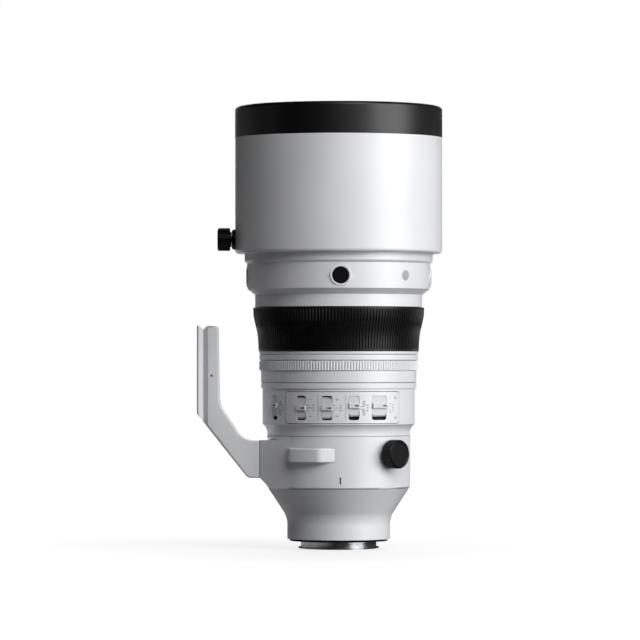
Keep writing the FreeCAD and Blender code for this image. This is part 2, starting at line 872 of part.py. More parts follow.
def clamp_knob(azimuth, height, stem_near, stem_radius, neck_near, neck_radius, neck_length, radius, length):
    head_near = neck_near + neck_length
    far = head_near + length
    knob = turned_body([
        (ZERO, stem_near),
        (stem_radius, stem_near),
        (stem_radius, neck_near),
        (neck_radius, neck_near),
        (neck_radius, head_near),
        (radius - size.knob_edge, head_near),
        (radius, head_near + size.knob_edge),
        (radius, far - size.knob_edge),
        (radius - size.knob_edge, far),
        (ZERO, far),
    ])
    return point_radially(knob, azimuth, height)


# Tripod collar, strap bars and foot
BOSS_REAR = COLLAR_REAR + size.boss_rise
KNOB_HEIGHT = COLLAR_REAR + size.knob_station
KNOB_NECK_RADIUS = size.knob_radius - size.knob_neck_inset
KNOB_BOSS = COLLAR_RADIUS + size.knob_rise - size.running_gap
COLLAR_PAD = size.inner_tube_radius + size.pad_standoff
FOOT_TOP = BOSS_REAR + size.foot_height
FOOT_FACE = JOINT_REACH + size.foot_plate_reach + size.foot_plate_thickness


def foot_screw_cylinders(radius, near, far):
    """Round bars along -X at the four places of the foot's screws."""
    items = []
    for side in (-1, 1):
        for step in (0, 1):
            item = document.addObject("Part::Cylinder", "FootScrew")
            bind(item, "Radius", radius)
            bind(item, "Height", as_size(far) - near)
            item.Placement.Rotation = radial_rotation(-QUARTER_TURN)
            bind(item, "Placement.Base.x", -as_size(near))
            bind(item, "Placement.Base.y", size.foot_screw_spread * side)
            bind(item, "Placement.Base.z", COLLAR_REAR + size.foot_screw_low + size.foot_screw_pitch * step)
            items.append(item)
    return items


FOOT_HEAD_NEAR = size.inner_tube_radius + size.side_gap * 0.5
FOOT_HEAD_FAR = FOOT_HEAD_NEAR + size.foot_screw_head_height


def make_collar():
    ring = turned_body([
        (COLLAR_BORE, COLLAR_REAR),
        (COLLAR_RADIUS - size.collar_chamfer, COLLAR_REAR),
        (COLLAR_RADIUS, COLLAR_REAR + size.collar_chamfer),
        (COLLAR_RADIUS, COLLAR_FRONT),
        (COLLAR_BORE, COLLAR_FRONT),
    ])
    boss_front = BOSS_REAR + size.foot_arm_height
    # The boss widens from the foot to where its flanks run out on the ring
    flank = radial_direction(-size.boss_flank_azimuth)
    flank_x = COLLAR_RADIUS * flank.x
    flank_y = COLLAR_RADIUS * flank.y
    side = prism_body("XZ_Plane", [
        (-JOINT_REACH, BOSS_REAR),
        (size.boss_slant - JOINT_REACH, COLLAR_REAR),
        (flank_x, COLLAR_REAR),
        (flank_x, boss_front),
        (-JOINT_REACH, boss_front),
    ], COLLAR_RADIUS * 2)
    plan = prism_body("XY_Plane", [
        (-JOINT_REACH, -size.foot_width * 0.5),
        (-JOINT_REACH, size.foot_width * 0.5),
        (flank_x, -flank_y),
        (flank_x, flank_y),
    ], (boss_front + OVERCUT) * 2)
    boss = document.addObject("Part::MultiCommon", "Boss")
    boss.Shapes = [side, plan]
    knob_boss = radial_cylinder(
        KNOB_NECK_RADIUS, COLLAR_RADIUS - size.knob_rise - OVERCUT, KNOB_BOSS, size.knob_azimuth, KNOB_HEIGHT)
    bore = cylinder(COLLAR_BORE, COLLAR_REAR - OVERCUT, COLLAR_FRONT + OVERCUT)
    index_rear = COLLAR_REAR + size.index_height
    index = radial_box(
        size.index_width, COLLAR_RADIUS - size.index_depth, COLLAR_RADIUS + OVERCUT,
        index_rear, index_rear + size.index_length, 0)
    clamp = clamp_cutters(
        size.knob_azimuth, KNOB_HEIGHT, COLLAR_PAD, size.pad_radius, size.pad_thickness,
        size.pad_travel, size.knob_stem_radius, KNOB_BOSS + OVERCUT)
    screw_bores = foot_screw_cylinders(
        size.foot_screw_radius + size.stem_play, COLLAR_BORE - size.boss_height, JOINT_REACH + OVERCUT)
    head_bores = foot_screw_cylinders(
        size.foot_screw_head_radius + size.stem_play, COLLAR_BORE - size.boss_height, FOOT_HEAD_FAR)
    whole = fuse([ring, boss, knob_boss])
    keep(cut(whole, [bore, index] + clamp + screw_bores + head_bores), "tripod_collar")

    heads = foot_screw_cylinders(size.foot_screw_head_radius, FOOT_HEAD_NEAR, FOOT_HEAD_FAR)
    shanks = foot_screw_cylinders(
        size.foot_screw_radius, FOOT_HEAD_FAR - size.running_gap, FOOT_HEAD_FAR + size.foot_screw_length)
    keep(group([fuse(list(pair)) for pair in zip(heads, shanks)]), "foot_screws")

    keep(clamp_knob(
        size.knob_azimuth, KNOB_HEIGHT, COLLAR_PAD + size.pad_play, size.knob_stem_radius,
        KNOB_BOSS + size.running_gap, KNOB_NECK_RADIUS, size.knob_edge, size.knob_radius,
        size.knob_head_length - size.knob_edge), "collar_knob")
    keep(clamp_pad(
        size.knob_azimuth, KNOB_HEIGHT, COLLAR_PAD, size.pad_radius, size.pad_thickness,
        size.knob_stem_radius), "collar_clamp_pad")


def make_strap_bar(start):
    """A bridge for the strap, from one azimuth through the bar's span."""
    rear = COLLAR_REAR + size.bar_station
    front = rear + size.bar_height
    outer = COLLAR_RADIUS + size.bar_reach
    root = COLLAR_RADIUS + size.rod_play
    bar = tube_sector(outer - size.bar_thickness, outer, rear, front, start, size.bar_angle)
    post_outer = outer - size.bar_thickness * 0.5
    first = tube_sector(root, post_outer, rear, front, start, size.bar_post_angle)
    far_start = as_size(start) + size.bar_angle - size.bar_post_angle
    second = tube_sector(root, post_outer, rear, front, far_start, size.bar_post_angle)
    return fuse([bar, first, second])


def line_names(shape, x, z):
    """The names of the straight edges that run across the foot at one place."""
    names = []
    for i, edge in enumerate(shape.Edges, start=1):
        middle = edge.CenterOfMass
        if abs(middle.x - x) < SAME and abs(middle.z - z) < SAME and runs_along(edge, FreeCAD.Vector(0, 1, 0)):
            names.append(f"Edge{i}")
    return names


def make_foot():
    knee = (size.foot_lean - JOINT_REACH - size.foot_plate_reach, BOSS_REAR + size.foot_inner_rise)
    armpit = (-JOINT_REACH - size.foot_arm_reach, BOSS_REAR + size.foot_arm_height)
    toe = (-FOOT_FACE, BOSS_REAR + size.foot_outer_rise)
    heel = (-JOINT_REACH - size.foot_heel_reach, BOSS_REAR)
    tip = (-JOINT_REACH - size.foot_plate_reach, FOOT_TOP)
    foot = prism_body("XZ_Plane", [
        (-JOINT_REACH, BOSS_REAR),
        (-JOINT_REACH, BOSS_REAR + size.foot_arm_height),
        armpit,
        knee,
        tip,
        (-FOOT_FACE, FOOT_TOP),
        toe,
        heel,
    ], size.foot_width)
    document.recompute()
    feature = foot.Tip
    for corner, amount in (
        (knee, size.foot_inner_round),
        (armpit, size.foot_inner_round),
        (toe, size.foot_knee_round),
        (heel, size.foot_heel_round),
        (tip, size.foot_top_round),
    ):
        fillet = foot.newObject("PartDesign::Fillet", "Bend")
        fillet.Base = (feature, line_names(feature.Shape, corner[0].value, corner[1].value))
        bind(fillet, "Radius", amount)
        document.recompute()
        feature = fillet
    half = size.foot_width * 0.5
    side_edges = []
    for i, edge in enumerate(feature.Shape.Edges, start=1):
        ends = [abs(abs(vertex.Point.y) - half.value) for vertex in edge.Vertexes]
        if max(ends) < SAME and not runs_along(edge, FreeCAD.Vector(0, 1, 0)):
            side_edges.append(f"Edge{i}")
    soften = foot.newObject("PartDesign::Fillet", "Soften")
    soften.Base = (feature, side_edges)
    bind(soften, "Radius", size.foot_edge_round)
    document.recompute()

    lip = size.dovetail_lip - FOOT_FACE
    far = lip + size.dovetail_width
    middle = lip + size.dovetail_width * 0.5
    cutters = []
    for side in (-1, 1):
        edge = half * side
        groove = prism_body("XY_Plane", [
            (lip, edge + OVERCUT * side),
            (lip, edge),
            (middle, edge - size.dovetail_depth * side),
            (far, edge),
            (far, edge + OVERCUT * side),
        ], (FOOT_TOP + OVERCUT) * 2)
        cutters.append(groove)
    cutters.append(prism_body("XZ_Plane", [
        (lip, FOOT_TOP + OVERCUT),
        (lip, FOOT_TOP),
        (middle, FOOT_TOP - size.dovetail_depth),
        (far, FOOT_TOP),
        (far, FOOT_TOP + OVERCUT),
    ], size.foot_width + OVERCUT * 2))
    socket_height = FOOT_TOP - size.socket_station
    for radius, height in (
        (size.socket_radius, socket_height),
        (size.small_socket_radius, socket_height - size.socket_pitch),
    ):
        cutters.append(radial_cylinder(
            radius, FOOT_FACE - size.socket_depth, FOOT_FACE + OVERCUT, -QUARTER_TURN, height))
    dimple = document.addObject("Part::Cylinder", "Dimple")
    bind(dimple, "Radius", size.dimple_radius)
    bind(dimple, "Height", size.dimple_depth + OVERCUT)
    dimple.Placement.Rotation = radial_rotation(0)
    bind(dimple, "Placement.Base.x", size.dimple_inset - FOOT_FACE)
    bind(dimple, "Placement.Base.y", size.dimple_depth - half)
    bind(dimple, "Placement.Base.z", FOOT_TOP - size.dimple_station)
    cutters.append(dimple)
    cutters += foot_screw_cylinders(
        size.foot_screw_radius + size.stem_play, JOINT_REACH - OVERCUT,
        FOOT_HEAD_FAR + size.foot_screw_length + size.side_gap)
    keep(cut(foot, cutters), "foot")


# Switch barrel, its panel and the slide switches
SLOT_HEIGHT = COVE_FRONT + size.switch_station
PANEL_REAR = COVE_FRONT + size.panel_margin
PANEL_FRONT = PANEL_REAR + size.panel_height
PANEL_INNER = SWITCH_RADIUS - size.panel_sink
PANEL_OUTER = PANEL_INNER + size.panel_thickness


def switch_azimuth(place):
    """The azimuth of one of the switches on the panel, counted from 0."""
    return size.switch_pitch_angle * (place - (PANEL_SWITCHES - 1) / 2)


# One entry a switch: its azimuth, the width of its slot, the surface it lies under and how far up it rests
SWITCHES = {
    "slider_lone": (size.lone_slot_azimuth, size.lone_slot_width, SWITCH_RADIUS, size.slider_throw),
    "slider_first": (switch_azimuth(0), size.slot_width, PANEL_OUTER, ZERO),
    "slider_second": (switch_azimuth(1), size.slot_width, PANEL_OUTER, ZERO),
    "slider_third": (switch_azimuth(2), size.slot_width, PANEL_OUTER, size.slider_throw),
    "slider_wide": (switch_azimuth(3), size.wide_slot_width, PANEL_OUTER, size.slider_throw),
}


def slot_window(azimuth, width, near, far):
    half = size.slot_length * 0.5
    return radial_box(width, near, far, SLOT_HEIGHT - half, SLOT_HEIGHT + half, azimuth, size.slot_corner)


def slot_pocket(azimuth, width, far):
    """The room behind a slot in which the slider's flange runs."""
    half = size.slot_length * 0.5 + size.slider_flange + size.slider_pocket_play
    wide = as_size(width) + (size.slider_flange + size.slider_pocket_play) * 2
    return radial_box(wide, FRONT_TUBE_RADIUS - OVERCUT, far, SLOT_HEIGHT - half, SLOT_HEIGHT + half, azimuth)


def make_slider(label, azimuth, width, surface, lift):
    near = FRONT_TUBE_RADIUS + size.side_gap
    flange_far = near + size.slider_flange_thickness
    middle = SLOT_HEIGHT + lift
    half = size.slider_length * 0.5
    flange_half = half + size.slider_flange
    flange = radial_box(
        as_size(width) + size.slider_flange * 2, near, flange_far, middle - flange_half, middle + flange_half, azimuth)
    face = as_size(surface) - size.slider_sink
    plate_width = as_size(width) - size.slider_play * 2
    plate = radial_box(plate_width, near, face, middle - half, middle + half, azimuth, size.slot_corner)
    ridge_half = size.slider_ridge_length * 0.5
    ridge = radial_box(
        plate_width, near, face + size.slider_ridge_rise, middle - ridge_half, middle + ridge_half, azimuth)
    keep(fuse([flange, plate, ridge]), label)


def panel_screw_places():
    half = size.panel_angle * 0.5 - size.panel_screw_angle
    for azimuth in (size.panel_azimuth - half, size.panel_azimuth + half):
        for height in (PANEL_REAR + size.panel_screw_inset, PANEL_FRONT - size.panel_screw_inset):
            yield azimuth, height


def make_switch_barrel():
    step = SWITCH_REAR + size.tube_step_length
    neck_bore = size.inner_tube_radius + size.seat_gap
    shoulder = FRONT_TUBE_RADIUS + size.shoulder_wall
    barrel = turned_body([
        (neck_bore, SWITCH_REAR),
        (NECK_RADIUS, SWITCH_REAR),
        (NECK_RADIUS, COVE_REAR),
        (SWITCH_RADIUS, COVE_FRONT),
        (SWITCH_RADIUS, SWITCH_FRONT),
        (shoulder, SWITCH_FRONT),
        (shoulder, SHOULDER_FRONT),
        (TUBE_SEAT, SHOULDER_FRONT),
        (TUBE_SEAT, step),
        (neck_bore, step),
    ], rounds=[(NECK_RADIUS, COVE_REAR, size.cove_round)])
    margin_span = size.panel_angle + size.panel_play_angle
    recess = tube_sector(
        PANEL_INNER, SWITCH_RADIUS + OVERCUT, PANEL_REAR - size.panel_play, PANEL_FRONT + size.panel_play,
        size.panel_azimuth - margin_span * 0.5, margin_span)
    cutters = [recess]
    panel = tube_sector(
        PANEL_INNER + size.rod_play, PANEL_OUTER, PANEL_REAR, PANEL_FRONT,
        size.panel_azimuth - size.panel_angle * 0.5, size.panel_angle)
    document.recompute()
    panel = round_edges(panel, is_panel_corner, size.panel_corner)
    windows = []
    for label, (azimuth, width, surface, lift) in SWITCHES.items():
        window = slot_window(azimuth, width, FRONT_TUBE_RADIUS, SWITCH_RADIUS + OVERCUT)
        if label == "slider_lone":
            flange_far = FRONT_TUBE_RADIUS + size.side_gap + size.slider_flange_thickness
            cutters += [window, slot_pocket(azimuth, width, flange_far + size.seat_gap)]
        else:
            windows.append(window)
            cutters.append(slot_pocket(azimuth, width, SWITCH_RADIUS + OVERCUT))
        make_slider(label, azimuth, width, surface, lift)
    screws = []
    head_near = PANEL_OUTER - size.panel_screw_head_height
    shank_near = head_near - size.panel_screw_length
    for azimuth, height in panel_screw_places():
        play = size.stem_play
        windows.append(radial_cylinder(
            size.panel_screw_head_radius + play, head_near, PANEL_OUTER + OVERCUT, azimuth, height))
        windows.append(radial_cylinder(
            size.panel_screw_radius + play, PANEL_INNER - OVERCUT, PANEL_OUTER, azimuth, height))
        cutters.append(radial_cylinder(
            size.panel_screw_radius + play, shank_near - play, PANEL_OUTER, azimuth, height))
        head = radial_cylinder(size.panel_screw_head_radius, head_near, PANEL_OUTER, azimuth, height)
        shank = radial_cylinder(size.panel_screw_radius, shank_near, PANEL_OUTER - play, azimuth, height)
        screws.append(fuse([head, shank]))
    keep(cut(barrel, cutters), "switch_barrel")
    keep(cut(panel, windows), "switch_panel")
    keep(group(screws), "panel_screws")


def is_panel_corner(edge):
    """Whether an edge is one of the panel's four short corners, which run along a radius."""
    if abs(edge.Length - (PANEL_OUTER - PANEL_INNER - size.rod_play).value) > SAME:
        return False
    return abs(edge.tangentAt(edge.FirstParameter).z) < SAME


# Control ring, spacer ring and focus ring
def make_rings():
    plain = FRONT_TUBE_RADIUS + size.control_wall
    knurl = FRONT_TUBE_RADIUS + size.control_knurl_wall
    keep(turned_body([
        (RING_BORE, CONTROL_REAR),
        (plain, CONTROL_REAR),
        (plain, CONTROL_STEP),
        (knurl, CONTROL_STEP),
        (knurl, CONTROL_FRONT),
        (RING_BORE, CONTROL_FRONT),
    ]), "control_ring")
    keep(turned_body([
        (TUBE_SEAT, SPACER_REAR),
        (TUBE_SEAT + size.spacer_wall, SPACER_REAR),
        (TUBE_SEAT + size.spacer_wall, SPACER_FRONT),
        (TUBE_SEAT, SPACER_FRONT),
    ]), "spacer_ring")

    rear_radius = SLEEVE_RADIUS + size.rubber_rear_reach
    waist_radius = SLEEVE_RADIUS + size.rubber_waist_reach
    front_radius = SLEEVE_RADIUS + size.rubber_front_reach
    under = size.rubber_thickness + size.stem_play
    keep(turned_body([
        (RING_BORE, SLEEVE_REAR),
        (SLEEVE_RADIUS, SLEEVE_REAR),
        (SLEEVE_RADIUS, RUBBER_REAR),
        (rear_radius - under, RUBBER_REAR),
        (waist_radius - under, RUBBER_WAIST),
        (front_radius - under, RUBBER_FLARE),
        (front_radius - under, SLEEVE_FRONT),
        (RING_BORE, SLEEVE_FRONT),
    ]), "focus_sleeve")
    keep(turned_body([
        (rear_radius - size.rubber_thickness, RUBBER_REAR),
        (rear_radius, RUBBER_REAR),
        (waist_radius, RUBBER_WAIST),
        (front_radius, RUBBER_FLARE),
        (front_radius, SLEEVE_FRONT),
        (front_radius - size.rubber_thickness, SLEEVE_FRONT),
        (front_radius - size.rubber_thickness, RUBBER_FLARE),
        (waist_radius - size.rubber_thickness, RUBBER_WAIST),
    ], rounds=[
        (waist_radius, RUBBER_WAIST, size.rubber_round),
        (front_radius, RUBBER_FLARE, size.rubber_round),
    ]), "focus_rubber")


# Front barrel with its buttons
BUTTON_HEIGHT = BAND_REAR + size.button_station
BUTTON_SHOULDER = CELL_BORE + size.button_seat
BUTTON_HOLE = size.button_radius + size.button_play


def make_front_barrel():
    neck_radius = TUBE_SEAT + size.neck_ring_wall
    barrel = turned_body([
        (TUBE_SEAT, NECK_REAR),
        (neck_radius, NECK_REAR),
        (neck_radius, NECK_FRONT),
        (BAND_RADIUS, BAND_REAR),
        (BAND_FRONT_RADIUS, BAND_FRONT),
        (FRONT_RADIUS, BAND_FRONT),
        (FRONT_RADIUS, SEAT_FRONT),
        (CELL_BORE, SEAT_FRONT),
        (CELL_BORE, CELL_SEAT),
        (TUBE_SEAT, CELL_SEAT),
    ])
    rims = []
    holes = []
    rim_radius = BUTTON_HOLE + size.rim_width
    rim_top = BAND_RADIUS + size.rim_rise
    rim_root = BAND_RADIUS - size.rim_root
    flange_hole = size.button_radius + size.button_flange + size.button_play
    for azimuth in BUTTON_AZIMUTHS.values():
        rim = turned_body([
            (ZERO, rim_root),
            (rim_radius, rim_root),
            (rim_radius - size.rim_edge, rim_top),
            (ZERO, rim_top),
        ])
        rims.append(point_radially(rim, azimuth, BUTTON_HEIGHT))
        holes.append(radial_cylinder(BUTTON_HOLE, CELL_BORE - OVERCUT, rim_top + OVERCUT, azimuth, BUTTON_HEIGHT))
        holes.append(radial_cylinder(
            flange_hole, CELL_BORE - OVERCUT * 2, BUTTON_SHOULDER, azimuth, BUTTON_HEIGHT))
    cap_far = BAND_RADIUS + size.rod_play
    cap_near = cap_far - size.cap_depth
    pocket = radial_cylinder(
        size.cap_radius + size.rod_play, cap_near, BAND_RADIUS + OVERCUT, size.cap_azimuth, BUTTON_HEIGHT)
    keep(cut(fuse([barrel] + rims), holes + [pocket]), "front_barrel")
    keep(radial_cylinder(size.cap_radius, cap_near, cap_far, size.cap_azimuth, BUTTON_HEIGHT), "blanking_cap")


def make_buttons():
    flange_far = BUTTON_SHOULDER - size.running_gap
    flange_near = flange_far - size.button_flange_thickness
    flange_radius = size.button_radius + size.button_flange
    top = BAND_RADIUS + size.button_rise
    for label, azimuth in BUTTON_AZIMUTHS.items():
        button = turned_body([
            (ZERO, flange_near),
            (flange_radius, flange_near),
            (flange_radius, flange_far),
            (size.button_radius, flange_far),
            (size.button_radius, top - size.button_edge),
            (size.button_radius - size.button_edge, top),
            (ZERO, top),
        ])
        keep(point_radially(button, azimuth, BUTTON_HEIGHT), label)


def make_front_rings():
    seat_bore = FRONT_RADIUS + size.seat_gap
    keep(turned_body([
        (seat_bore, BAND_FRONT),
        (SEAT_RING_RADIUS - size.seat_ring_chamfer, BAND_FRONT),
        (SEAT_RING_RADIUS, BAND_FRONT + size.seat_ring_chamfer),
        (SEAT_RING_RADIUS, SEAT_FRONT),
        (seat_bore, SEAT_FRONT),
    ]), "hood_seat_ring")
    face_radius = SEAT_RING_RADIUS - size.seat_gap
    keep(turned_body([
        (CLEAR_RADIUS, RETAINER_REAR),
        (CELL_RADIUS, RETAINER_REAR),
        (CELL_RADIUS, SEAT_FRONT),
        (face_radius, SEAT_FRONT),
        (face_radius, LENS_FRONT - size.knob_edge),
        (face_radius - size.knob_edge, LENS_FRONT),
        (THREAD_RADIUS, LENS_FRONT),
        (THREAD_RADIUS, THREAD_REAR),
        (CLEAR_RADIUS, THREAD_REAR),
    ]), "filter_ring")


# Lens hood
HOOD_KNOB_HEIGHT = HOOD_REAR + size.hood_knob_station
HOOD_BOSS = HOOD_RADIUS + size.hood_boss_rise
HOOD_PAD = HOOD_BORE + size.seat_gap
HOOD_INNER = HOOD_RADIUS - size.hood_wall


def make_hood():
    band_rear = HOOD_FRONT - size.hood_band_length
    rim_rear = HOOD_FRONT - size.hood_rim_thickness
    seat_front = HOOD_REAR + size.hood_seat_length
    band_inner = HOOD_RADIUS - size.hood_band_thickness
    shell = turned_body([
        (HOOD_BORE, HOOD_REAR),
        (HOOD_RADIUS, HOOD_REAR),
        (HOOD_RADIUS, band_rear),
        (band_inner - size.stem_play, band_rear),
        (band_inner - size.stem_play, rim_rear),
        (HOOD_INNER, rim_rear),
        (HOOD_INNER, seat_front),
        (HOOD_BORE, seat_front),
    ], rounds=[(HOOD_RADIUS, HOOD_REAR, size.hood_rear_round)])
    boss = turned_body([
        (ZERO, HOOD_RADIUS - size.hood_boss_rise),
        (size.hood_boss_radius, HOOD_RADIUS - size.hood_boss_rise),
        (size.hood_boss_radius, HOOD_BOSS - size.hood_boss_chamfer),
        (size.hood_boss_radius - size.hood_boss_chamfer, HOOD_BOSS),
        (ZERO, HOOD_BOSS),
    ])
    point_radially(boss, -QUARTER_TURN, HOOD_KNOB_HEIGHT)
    cutters = clamp_cutters(
        -QUARTER_TURN, HOOD_KNOB_HEIGHT, HOOD_PAD, size.hood_pad_radius, size.hood_pad_thickness,
        size.hood_pad_travel, size.hood_stem_radius, HOOD_BOSS + OVERCUT)
    keep(cut(fuse([shell, boss]), cutters), "hood_shell")

    lip_radius = HOOD_INNER - size.side_gap
    band_outer = HOOD_RADIUS + size.hood_band_proud
    keep(turned_body([
        (band_inner, band_rear),
        (band_outer, band_rear),
        (band_outer, HOOD_FRONT),
        (lip_radius, HOOD_FRONT),
        (lip_radius, rim_rear),
        (band_inner, rim_rear),
    ], rounds=[(band_outer, HOOD_FRONT, size.hood_front_round)]), "hood_rubber")

    liner_outer = HOOD_INNER - size.stem_play
    liner_inner = liner_outer - size.liner_thickness
    liner_rear = HOOD_REAR + size.liner_start
    liner_front = rim_rear - size.stem_play
    keep(turned_body([
        (liner_inner, liner_rear),
        (liner_outer, liner_rear),
        (liner_outer, liner_front),
        (liner_inner, liner_front),
    ]), "hood_liner")

    keep(clamp_knob(
        -QUARTER_TURN, HOOD_KNOB_HEIGHT, HOOD_PAD + size.pad_play, size.hood_stem_radius,
        HOOD_BOSS + size.running_gap, size.hood_knob_neck_radius, size.hood_knob_neck_length,
        size.hood_knob_radius, size.hood_knob_length), "hood_knob")
    keep(clamp_pad(
        -QUARTER_TURN, HOOD_KNOB_HEIGHT, HOOD_PAD, size.hood_pad_radius, size.hood_pad_thickness,
        size.hood_stem_radius), "hood_clamp_pad")


# Glass and the cells that hold it
FIRST_RADIUS = CELL_RADIUS - size.first_inset
SECOND_RADIUS = CELL_RADIUS - size.second_inset
CELL_NOSE = TUBE_SEAT - size.side_gap
THIRD_RADIUS = CELL_NOSE - size.third_inset
FIRST_REAR = CELL_SEAT + size.first_station
SECOND_REAR = CELL_SEAT + size.second_station
SECOND_FRONT = FIRST_REAR - size.element_land
THIRD_FRONT = SECOND_REAR - size.element_land
THIRD_REAR = THIRD_FRONT - size.third_rim
CELL_REAR = CELL_SEAT - size.cell_nose_length


def sag(curve, radius):
    """How far a ground surface falls from its vertex to a radius."""
    curve = as_size(curve)
    radius = as_size(radius)
    value = curve.value - math.sqrt(curve.value ** 2 - radius.value ** 2)
    return Size(value, f"({curve.formula} - sqrt({curve.formula}^2 - {radius.formula}^2))")


def make_front_group():
    first_front = FIRST_REAR + size.first_rim
    second_front = SECOND_REAR + size.second_rim
    first_edge = FIRST_RADIUS - size.knob_edge
    first_vertex = first_front + sag(size.first_front_curve, FIRST_RADIUS)
    second_vertex = second_front + sag(size.second_front_curve, SECOND_RADIUS)
    third_edge = THIRD_RADIUS - size.land_width
    first = hollow_rear(
        domed_front(cylinder(FIRST_RADIUS, FIRST_REAR, first_vertex), size.first_front_curve, first_vertex),
        size.first_rear_curve, FIRST_REAR + sag(size.first_rear_curve, first_edge))
    second = domed_front(
        cylinder(SECOND_RADIUS, SECOND_REAR, second_vertex), size.second_front_curve, second_vertex)
    third = hollow_rear(
        cylinder(THIRD_RADIUS, THIRD_REAR, THIRD_FRONT),
        size.third_rear_curve, THIRD_REAR + sag(size.third_rear_curve, third_edge))
    keep(group([first, second, third]), "front_lenses")

    play = size.glass_play
    keep(turned_body([
        (THIRD_RADIUS - size.third_land_width, CELL_REAR),
        (CELL_NOSE, CELL_REAR),
        (CELL_NOSE, CELL_SEAT),
        (CELL_RADIUS, CELL_SEAT),
        (CELL_RADIUS, RETAINER_REAR),
        (FIRST_RADIUS + play, RETAINER_REAR),
        (FIRST_RADIUS + play, FIRST_REAR),
        (FIRST_RADIUS - size.land_width, FIRST_REAR),
        (FIRST_RADIUS - size.land_width, SECOND_FRONT),
        (SECOND_RADIUS + play, SECOND_FRONT),
        (SECOND_RADIUS + play, SECOND_REAR),
        (SECOND_RADIUS - size.land_width, SECOND_REAR),
        (SECOND_RADIUS - size.land_width, THIRD_FRONT),
        (THIRD_RADIUS + play, THIRD_FRONT),
        (THIRD_RADIUS + play, THIRD_REAR),
        (THIRD_RADIUS - size.third_land_width, THIRD_REAR),
    ]), "front_cell")


WEB_FRONT = size.rod_web_station + size.rod_web_thickness


def rods(radius, low, high):
    """Bars at the two places of the focus group's guide rods."""
    items = []
    for side in (-1, 1):
        item = cylinder(radius, low, high)
        bind(item, "Placement.Base.x", ROD_CIRCLE * side)
        items.append(item)
    return items


def make_focus_group():
    keep(group(rods(size.rod_radius, WEB_FRONT, CELL_REAR)), "guide_rods")
    rear = WEB_FRONT + size.focus_standoff
    front = rear + size.focus_cell_length
    seat = rear + size.focus_land
    bore = FOCUS_RADIUS + size.glass_play
    land = FOCUS_RADIUS - size.land_width
    cell = turned_body([
        (land, rear),
        (FOCUS_CELL_RADIUS, rear),
        (FOCUS_CELL_RADIUS, front),
        (bore, front),
        (bore, seat),
        (land, seat),
    ])
    holes = rods(size.rod_radius + size.rod_play, rear - OVERCUT, front + OVERCUT)
    keep(cut(cell, holes), "focus_cell")
    vertex = seat + size.focus_rim + sag(size.focus_curve, FOCUS_RADIUS)
    blank = domed_front(cylinder(FOCUS_RADIUS, seat, vertex), size.focus_curve, vertex)
    keep(hollow_rear(blank, size.focus_curve, seat + sag(size.focus_curve, land)), "focus_lens")


# Iris: thin blades in layers between a fixed floor and a turning cam ring
RING_FRONT = size.rod_web_station - size.layer_gap
RING_REAR = RING_FRONT - size.iris_ring_thickness
BLADE_STACK = size.blade_pitch * (BLADES - 1) + size.blade_thickness
IRIS_FLOOR = RING_REAR - size.layer_gap - BLADE_STACK - size.layer_gap


def pivot_angle(blade):
    """Where a blade's pivot lies, in degrees from +X."""
    return blade * FULL_TURN / BLADES


def around(radius, degrees):
    """A point on a circle round the optical axis."""
    angle = math.radians(degrees)
    return FreeCAD.Vector(radius * math.cos(angle), radius * math.sin(angle), 0)


def peg_place(blade, share):
    """Where a blade's peg is when the iris is shut by a share from 0 to 1."""
    turned = pivot_angle(blade) + QUARTER_TURN - SIZES["iris_arm_angle"] + share * SIZES["blade_turn_angle"]
    return around(PIVOT_CIRCLE.value, pivot_angle(blade)) + around(SIZES["iris_arm"], turned)


def cam_slot(blade):
    """The curved slot that the peg of one blade runs in, with round ends."""
    half_width = SIZES["iris_peg_radius"] + SIZES["iris_slot_play"]
    path = []
    for share in (0, 0.5, 1):
        turn = FreeCAD.Rotation(FreeCAD.Vector(0, 0, 1), -share * SIZES["iris_ring_turn_angle"])
        path.append(turn.multVec(peg_place(blade, share)))
    circle = Part.Circle(*path)
    outward = [(point - circle.Center).normalize() for point in path]
    outer = [point + side * half_width for point, side in zip(path, outward)]
    inner = [point - side * half_width for point, side in zip(path, outward)]
    along = circle.Axis.cross(outward[2])
    if along.dot(path[2] - path[0]) < 0:
        along = along * -1
    back = circle.Axis.cross(outward[0])
    if back.dot(path[0] - path[2]) < 0:
        back = back * -1
    edges = [
        Part.Arc(outer[0], outer[1], outer[2]),
        Part.Arc(outer[2], path[2] + along * half_width, inner[2]),
        Part.Arc(inner[2], inner[1], inner[0]),
        Part.Arc(inner[0], path[0] + back * half_width, outer[0]),
    ]
    face = Part.Face(Part.Wire([edge.toShape() for edge in edges]))
    slot = document.addObject("Part::Feature", "CamSlot")
    depth = SIZES["iris_ring_thickness"] + OVERCUT * 2
    slot.Shape = face.extrude(FreeCAD.Vector(0, 0, depth))
    bind(slot, "Placement.Base.z", RING_REAR - OVERCUT)
    return slot


def make_iris():
    floor_rear = IRIS_FLOOR - size.iris_floor
    base = turned_body([
        (IRIS_OPEN, floor_rear),
        (IRIS_OUTER, floor_rear),
        (IRIS_OUTER, size.rod_web_station),
        (IRIS_RIM, size.rod_web_station),
        (IRIS_RIM, IRIS_FLOOR),
        (IRIS_OPEN, IRIS_FLOOR),
    ])
    ring = turned_body([
        (IRIS_RIM - size.running_gap - size.iris_ring_width, RING_REAR),
        (IRIS_RIM - size.running_gap, RING_REAR),
        (IRIS_RIM - size.running_gap, RING_FRONT),
        (IRIS_RIM - size.running_gap - size.iris_ring_width, RING_FRONT),
    ])
    pivot_holes = []
    for blade in range(BLADES):
        angle = pivot_angle(blade)
        pivot_hole = cylinder(
            size.iris_pin_radius + size.iris_pin_play, floor_rear - OVERCUT, IRIS_FLOOR + OVERCUT)
        put_on_circle(pivot_hole, PIVOT_CIRCLE, angle)
        pivot_holes.append(pivot_hole)
        make_blade(blade, floor_rear)
    keep(cut(base, pivot_holes), "iris_base")
    keep(cut(ring, [cam_slot(blade) for blade in range(BLADES)]), "iris_ring")


